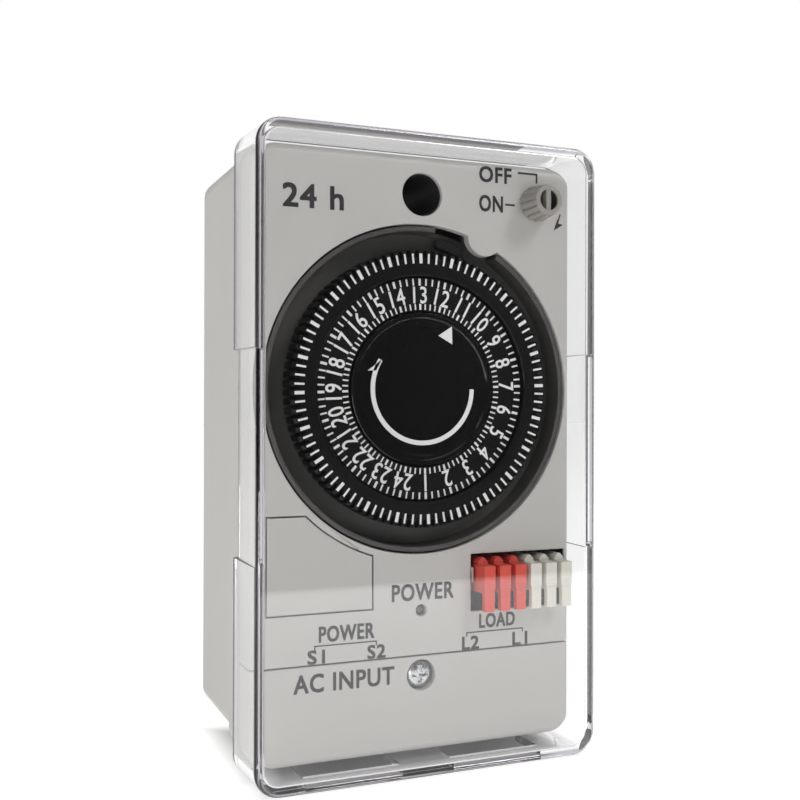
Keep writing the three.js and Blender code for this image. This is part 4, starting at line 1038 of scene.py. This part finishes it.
def cover_outline(y, inset, corner, steps=10):
    """A rounded outline of the cover at depth y, inset from its outside."""
    share = COVER_DRAFT * (cover_high.y - y) / (cover_high.y - cover_low.y)
    half_x, half_z = cover_high.x - share - inset, cover_high.z - share - inset
    outline = []
    for turn, (sx, sz) in enumerate(((1, 1), (-1, 1), (-1, -1), (1, -1))):
        for i in range(steps + 1):
            a = math.pi / 2 * (turn + i / steps)
            x, z = sx * (half_x - corner), sz * (half_z - corner)
            outline.append((x + corner * math.cos(a), z + corner * math.sin(a)))
    return outline


def rounded_edge(wall, radius):
    """The rings from the side of a cover's skin to its front, wall inside the outermost skin."""
    rings = []
    for i in range(ROUND_STEPS + 1):
        a = math.pi / 2 * i / ROUND_STEPS
        y = cover_low.y + wall + radius * (1 - math.sin(a))
        inset = wall + radius * (1 - math.cos(a))
        rings.append(at(y, cover_outline(y, inset, COVER_CORNER - inset)))
    return rings


rim = [at(cover_high.y, cover_outline(cover_high.y, wall, COVER_CORNER - wall)) for wall in (0, COVER_WALL)]
outer_skin = rounded_edge(0, COVER_EDGE)[::-1]
cover = loft(outer_skin + rim + rounded_edge(COVER_WALL, INNER_EDGE))
cutters = []
for side in (-1, 1):
    outer = side * cover_high.x
    dent = sorted((outer - side * GRIP_DEEP, outer + side * 2))
    cutters.append(block(*dent, cover_low.y - 1, cover_high.y + 1, -GRIP_HALF, GRIP_HALF))
    notch = sorted((outer - side * (COVER_WALL + 1), outer + side * 2))
    cutters.append(block(*notch, cover_high.y - 1.6, cover_high.y + 1, -GRIP_HALF, GRIP_HALF))
    cutters.append(block(
        side * ENTRY_X - 10, side * ENTRY_X + 10, cover_high.y - 9, cover_high.y + 1,
        cover_low.z - 1, cover_low.z + COVER_WALL + 2))
cover = combined(cover, "DIFFERENCE", *cutters)


def rim_group():
    """Light that runs along inside the walls comes out of the front rim dim and a little violet."""
    group, start, end = node_group("cover_rim", {}, {"Colour": (1, 1, 1, 1)})
    where = add_node(group, "ShaderNodeTexCoord").outputs["Object"]
    away = add_node(group, "ShaderNodeVectorMath", [(0, where)], operation="ABSOLUTE")
    part = add_node(group, "ShaderNodeSeparateXYZ", [("Vector", away.outputs["Vector"])]).outputs
    masks = []
    for axis, corner in (("X", cover_high.x), ("Z", cover_high.z)):
        inside = corner - COVER_DRAFT - COVER_WALL
        masks.append(ramp(group, part[axis], (inside - 0.1) * MM, (inside + 0.35) * MM))
    near = ramp(group, part["Y"], -(cover_low.y + 1.5) * MM, -(cover_low.y + 1.2) * MM)
    mask = maths(group, "MULTIPLY", maths(group, "MAXIMUM", *masks), near)
    colour = add_node(group, "ShaderNodeMix", [("Factor", mask)], data_type="RGBA")
    colour.inputs[6].default_value = (0.985, 0.985, 0.99, 1)
    colour.inputs[7].default_value = (0.33, 0.31, 0.36, 1)
    group.links.new(colour.outputs[2], end.inputs["Colour"])
    return group


def clear_plastic():
    """Clear polycarbonate with hairline polishing marks; shadow and bounced light pass straight through."""
    material, tree, shader = blank_material("clear_polycarbonate")
    rim = add_node(tree, "ShaderNodeGroup", node_tree=rim_group())
    tree.links.new(rim.outputs["Colour"], shader.inputs["Base Color"])
    shader.inputs["Transmission Weight"].default_value = 1.0
    shader.inputs["IOR"].default_value = 1.5
    hairs = object_noise(tree, 900, 2, (1, 1, 0.06))
    tree.links.new(ramp(tree, hairs, 0.55, 0.8, 0.0, 0.05), shader.inputs["Roughness"])
    through = add_node(tree, "ShaderNodeBsdfTransparent", [("Color", (0.95, 0.95, 0.955, 1))])
    path = add_node(tree, "ShaderNodeLightPath").outputs
    bounced = maths(tree, "MAXIMUM", path["Is Shadow Ray"], path["Is Diffuse Ray"])
    mixed = add_node(tree, "ShaderNodeMixShader", [(0, bounced)])
    tree.links.new(shader.outputs[0], mixed.inputs[1])
    tree.links.new(through.outputs[0], mixed.inputs[2])
    tree.links.new(mixed.outputs[0], tree.nodes["Material Output"].inputs["Surface"])
    return material


piece("clear_cover_shell", softened(cover, 0.12), clear_plastic(), "cover", "clear_cover", "clear_cover")

# ---------------------------------------------------------------- studio
# A white floor and soft lights, and a camera a hand's breadth in front of the cover, to its left.
FLOOR_EDGE = -0.262     # the near floor ends here, which shows as a faint line in the cover
floor_z = cad_box[0][2] - 0.0003


GLOW = 0.88             # keeps the floor white however far it runs
MIRRORED_GLOW = 1.7     # the bright front of the floor, as the cover mirrors it
MIRROR_FADE = 0.012     # over this length the mirrored floor comes up from nothing
CONTACT = 0.009         # the shade under the object, from its outline inwards
floor_paint = plastic(
    "floor_paint", (0.6, 0.6, 0.6), 0.9, shade=0.01, grain=900, depth=0.01, Emission_Color=(1, 1, 1, 1))


def floor_glow(tree):
    """How brightly the floor glows: even to the eye, ramped to a gloss, dark under the object."""
    where = add_node(tree, "ShaderNodeTexCoord").outputs["Object"]
    place = add_node(tree, "ShaderNodeSeparateXYZ", [("Vector", where)]).outputs
    ray = add_node(tree, "ShaderNodeLightPath").outputs
    plain = maths(tree, "MULTIPLY", maths(tree, "LESS_THAN", ray["Glossy Depth"], 0.5), GLOW)
    faded = ramp(tree, place["Y"], FLOOR_EDGE, FLOOR_EDGE + MIRROR_FADE)
    mirrored = ramp(tree, place["Y"], FLOOR_EDGE, -0.1, MIRRORED_GLOW, GLOW)
    shine = maths(tree, "MULTIPLY", mirrored, maths(tree, "MULTIPLY", ray["Is Glossy Ray"], faded))
    centre_y = (cad_box[0][1] + cad_box[1][1]) / 2
    across = maths(tree, "ABSOLUTE", place["X"])
    along = maths(tree, "ABSOLUTE", maths(tree, "SUBTRACT", place["Y"], centre_y))
    beyond_x = maths(tree, "SUBTRACT", across, cad_box[1][0])
    beyond_y = maths(tree, "SUBTRACT", along, cad_box[1][1] - centre_y)
    bare = ramp(tree, maths(tree, "MAXIMUM", beyond_x, beyond_y), -CONTACT, 0.0)
    return maths(tree, "MULTIPLY", maths(tree, "MAXIMUM", plain, shine), bare)


def floor(name, y0, y1, seen_in_gloss):
    """A flat stretch of the floor, across the whole studio."""
    corners = [(-3, y0, floor_z), (3, y0, floor_z), (3, y1, floor_z), (-3, y1, floor_z)]
    mesh = bpy.data.meshes.new(name)
    mesh.from_pydata(corners, [], [(0, 1, 2, 3)])
    mesh.materials.append(floor_paint)
    made = placed(name, mesh)
    made.visible_glossy = seen_in_gloss
    made.visible_transmission = seen_in_gloss


paint = floor_paint.node_tree
paint.links.new(floor_glow(paint), paint.nodes["Principled BSDF"].inputs["Emission Strength"])
floor("floor_near", FLOOR_EDGE, 3, True)
floor("floor_far", -3, FLOOR_EDGE, False)


def soft_light(name, place, power, size, aim=(0, -0.03, 0)):
    """A softbox that looks at a point."""
    data = bpy.data.lights.new(name, "AREA")
    data.shape = "RECTANGLE"
    data.size, data.size_y = size
    data.energy = power
    lamp = placed(name, data)
    lamp.location = place
    lamp.rotation_euler = (Vector(aim) - Vector(place)).to_track_quat("-Z", "Y").to_euler()


soft_light("key_light", (0.45, -0.6, 0.7), 3.4, (0.3, 0.3))
soft_light("left_light", (-0.6, -0.7, 0.5), 0.7, (0.6, 0.6))
soft_light("side_light", (-1.0, 0.1, 0.35), 1.35, (0.8, 0.8))
soft_light("low_light", (-0.2, -0.28, -0.05), 0.16, (0.12, 0.04), aim=(0, -0.04, -0.045))
soft_light("top_light", (0.0, 0.0, 1.1), 1.0, (0.9, 0.9), aim=(0, 0, 0))

CAMERA_AT = (-0.085637, -0.238659, 0.010033)
YAW, PITCH, ROLL = (math.radians(angle) for angle in (22.538, 0.157, 0.135))
lens_data = bpy.data.cameras.new("camera")
lens_data.sensor_width = 36
lens_data.lens = 47.28
lens_data.clip_start = 0.01
camera = placed("camera", lens_data)
ahead = Vector((math.sin(YAW) * math.cos(PITCH), math.cos(YAW) * math.cos(PITCH), math.sin(PITCH)))
right = Vector((math.cos(YAW), -math.sin(YAW), 0))
up = right.cross(ahead)
tilted_right = math.cos(ROLL) * right + math.sin(ROLL) * up
tilted_up = math.cos(ROLL) * up - math.sin(ROLL) * right
turn = Matrix((tilted_right, tilted_up, -ahead)).transposed()
camera.matrix_world = Matrix.Translation(CAMERA_AT) @ turn.to_4x4()
bpy.context.scene.camera = camera
bpy.context.scene.view_settings.view_transform = "Standard"

# The air is a white backdrop behind the object, a dim room for what its gloss mirrors, and an even
# fill for everything else.
world = bpy.data.worlds.new("studio_air")
world.use_nodes = True
bpy.context.scene.world = world
air = world.node_tree
AMBIENT = 0.13          # what lights every matt surface
SIDE_WALLS = 0.4        # what a clear edge bends into view
BACKDROP = (            # how far a ray points away from the camera, and how bright the air is there
    (-0.3, 0.03),
    (0.3, 0.16),
    (0.6, 1.0),
)


def mixed_by(share, one, two):
    """One value, or as far as share goes the other."""
    return add_node(air, "ShaderNodeMix", [("Factor", share), ("A", one), ("B", two)]).outputs["Result"]


path = add_node(air, "ShaderNodeLightPath").outputs
heading = add_node(air, "ShaderNodeTexCoord").outputs["Generated"]
facing = add_node(air, "ShaderNodeVectorMath", [(0, heading), (1, ahead)], operation="DOT_PRODUCT")
facing = facing.outputs["Value"]
steps = [
    ramp(air, facing, near, far, dim, bright)
    for (near, dim), (far, bright) in zip(BACKDROP, BACKDROP[1:])]
room = maths(air, "ADD", steps[0], maths(air, "SUBTRACT", steps[1], BACKDROP[1][1]))
clear = ramp(air, maths(air, "ABSOLUTE", facing), 0.3, 0.6, SIDE_WALLS, 1.0)
glossy = maths(air, "GREATER_THAN", path["Glossy Depth"], 0.5)
matt = maths(air, "GREATER_THAN", path["Diffuse Depth"], 0.5)
seen = mixed_by(glossy, mixed_by(path["Is Camera Ray"], clear, 1.0), room)
air.links.new(mixed_by(matt, seen, AMBIENT), air.nodes["Background"].inputs["Strength"])
air.nodes["Background"].inputs["Color"].default_value = (1, 1, 1, 1)

bpy.context.view_layer.update()
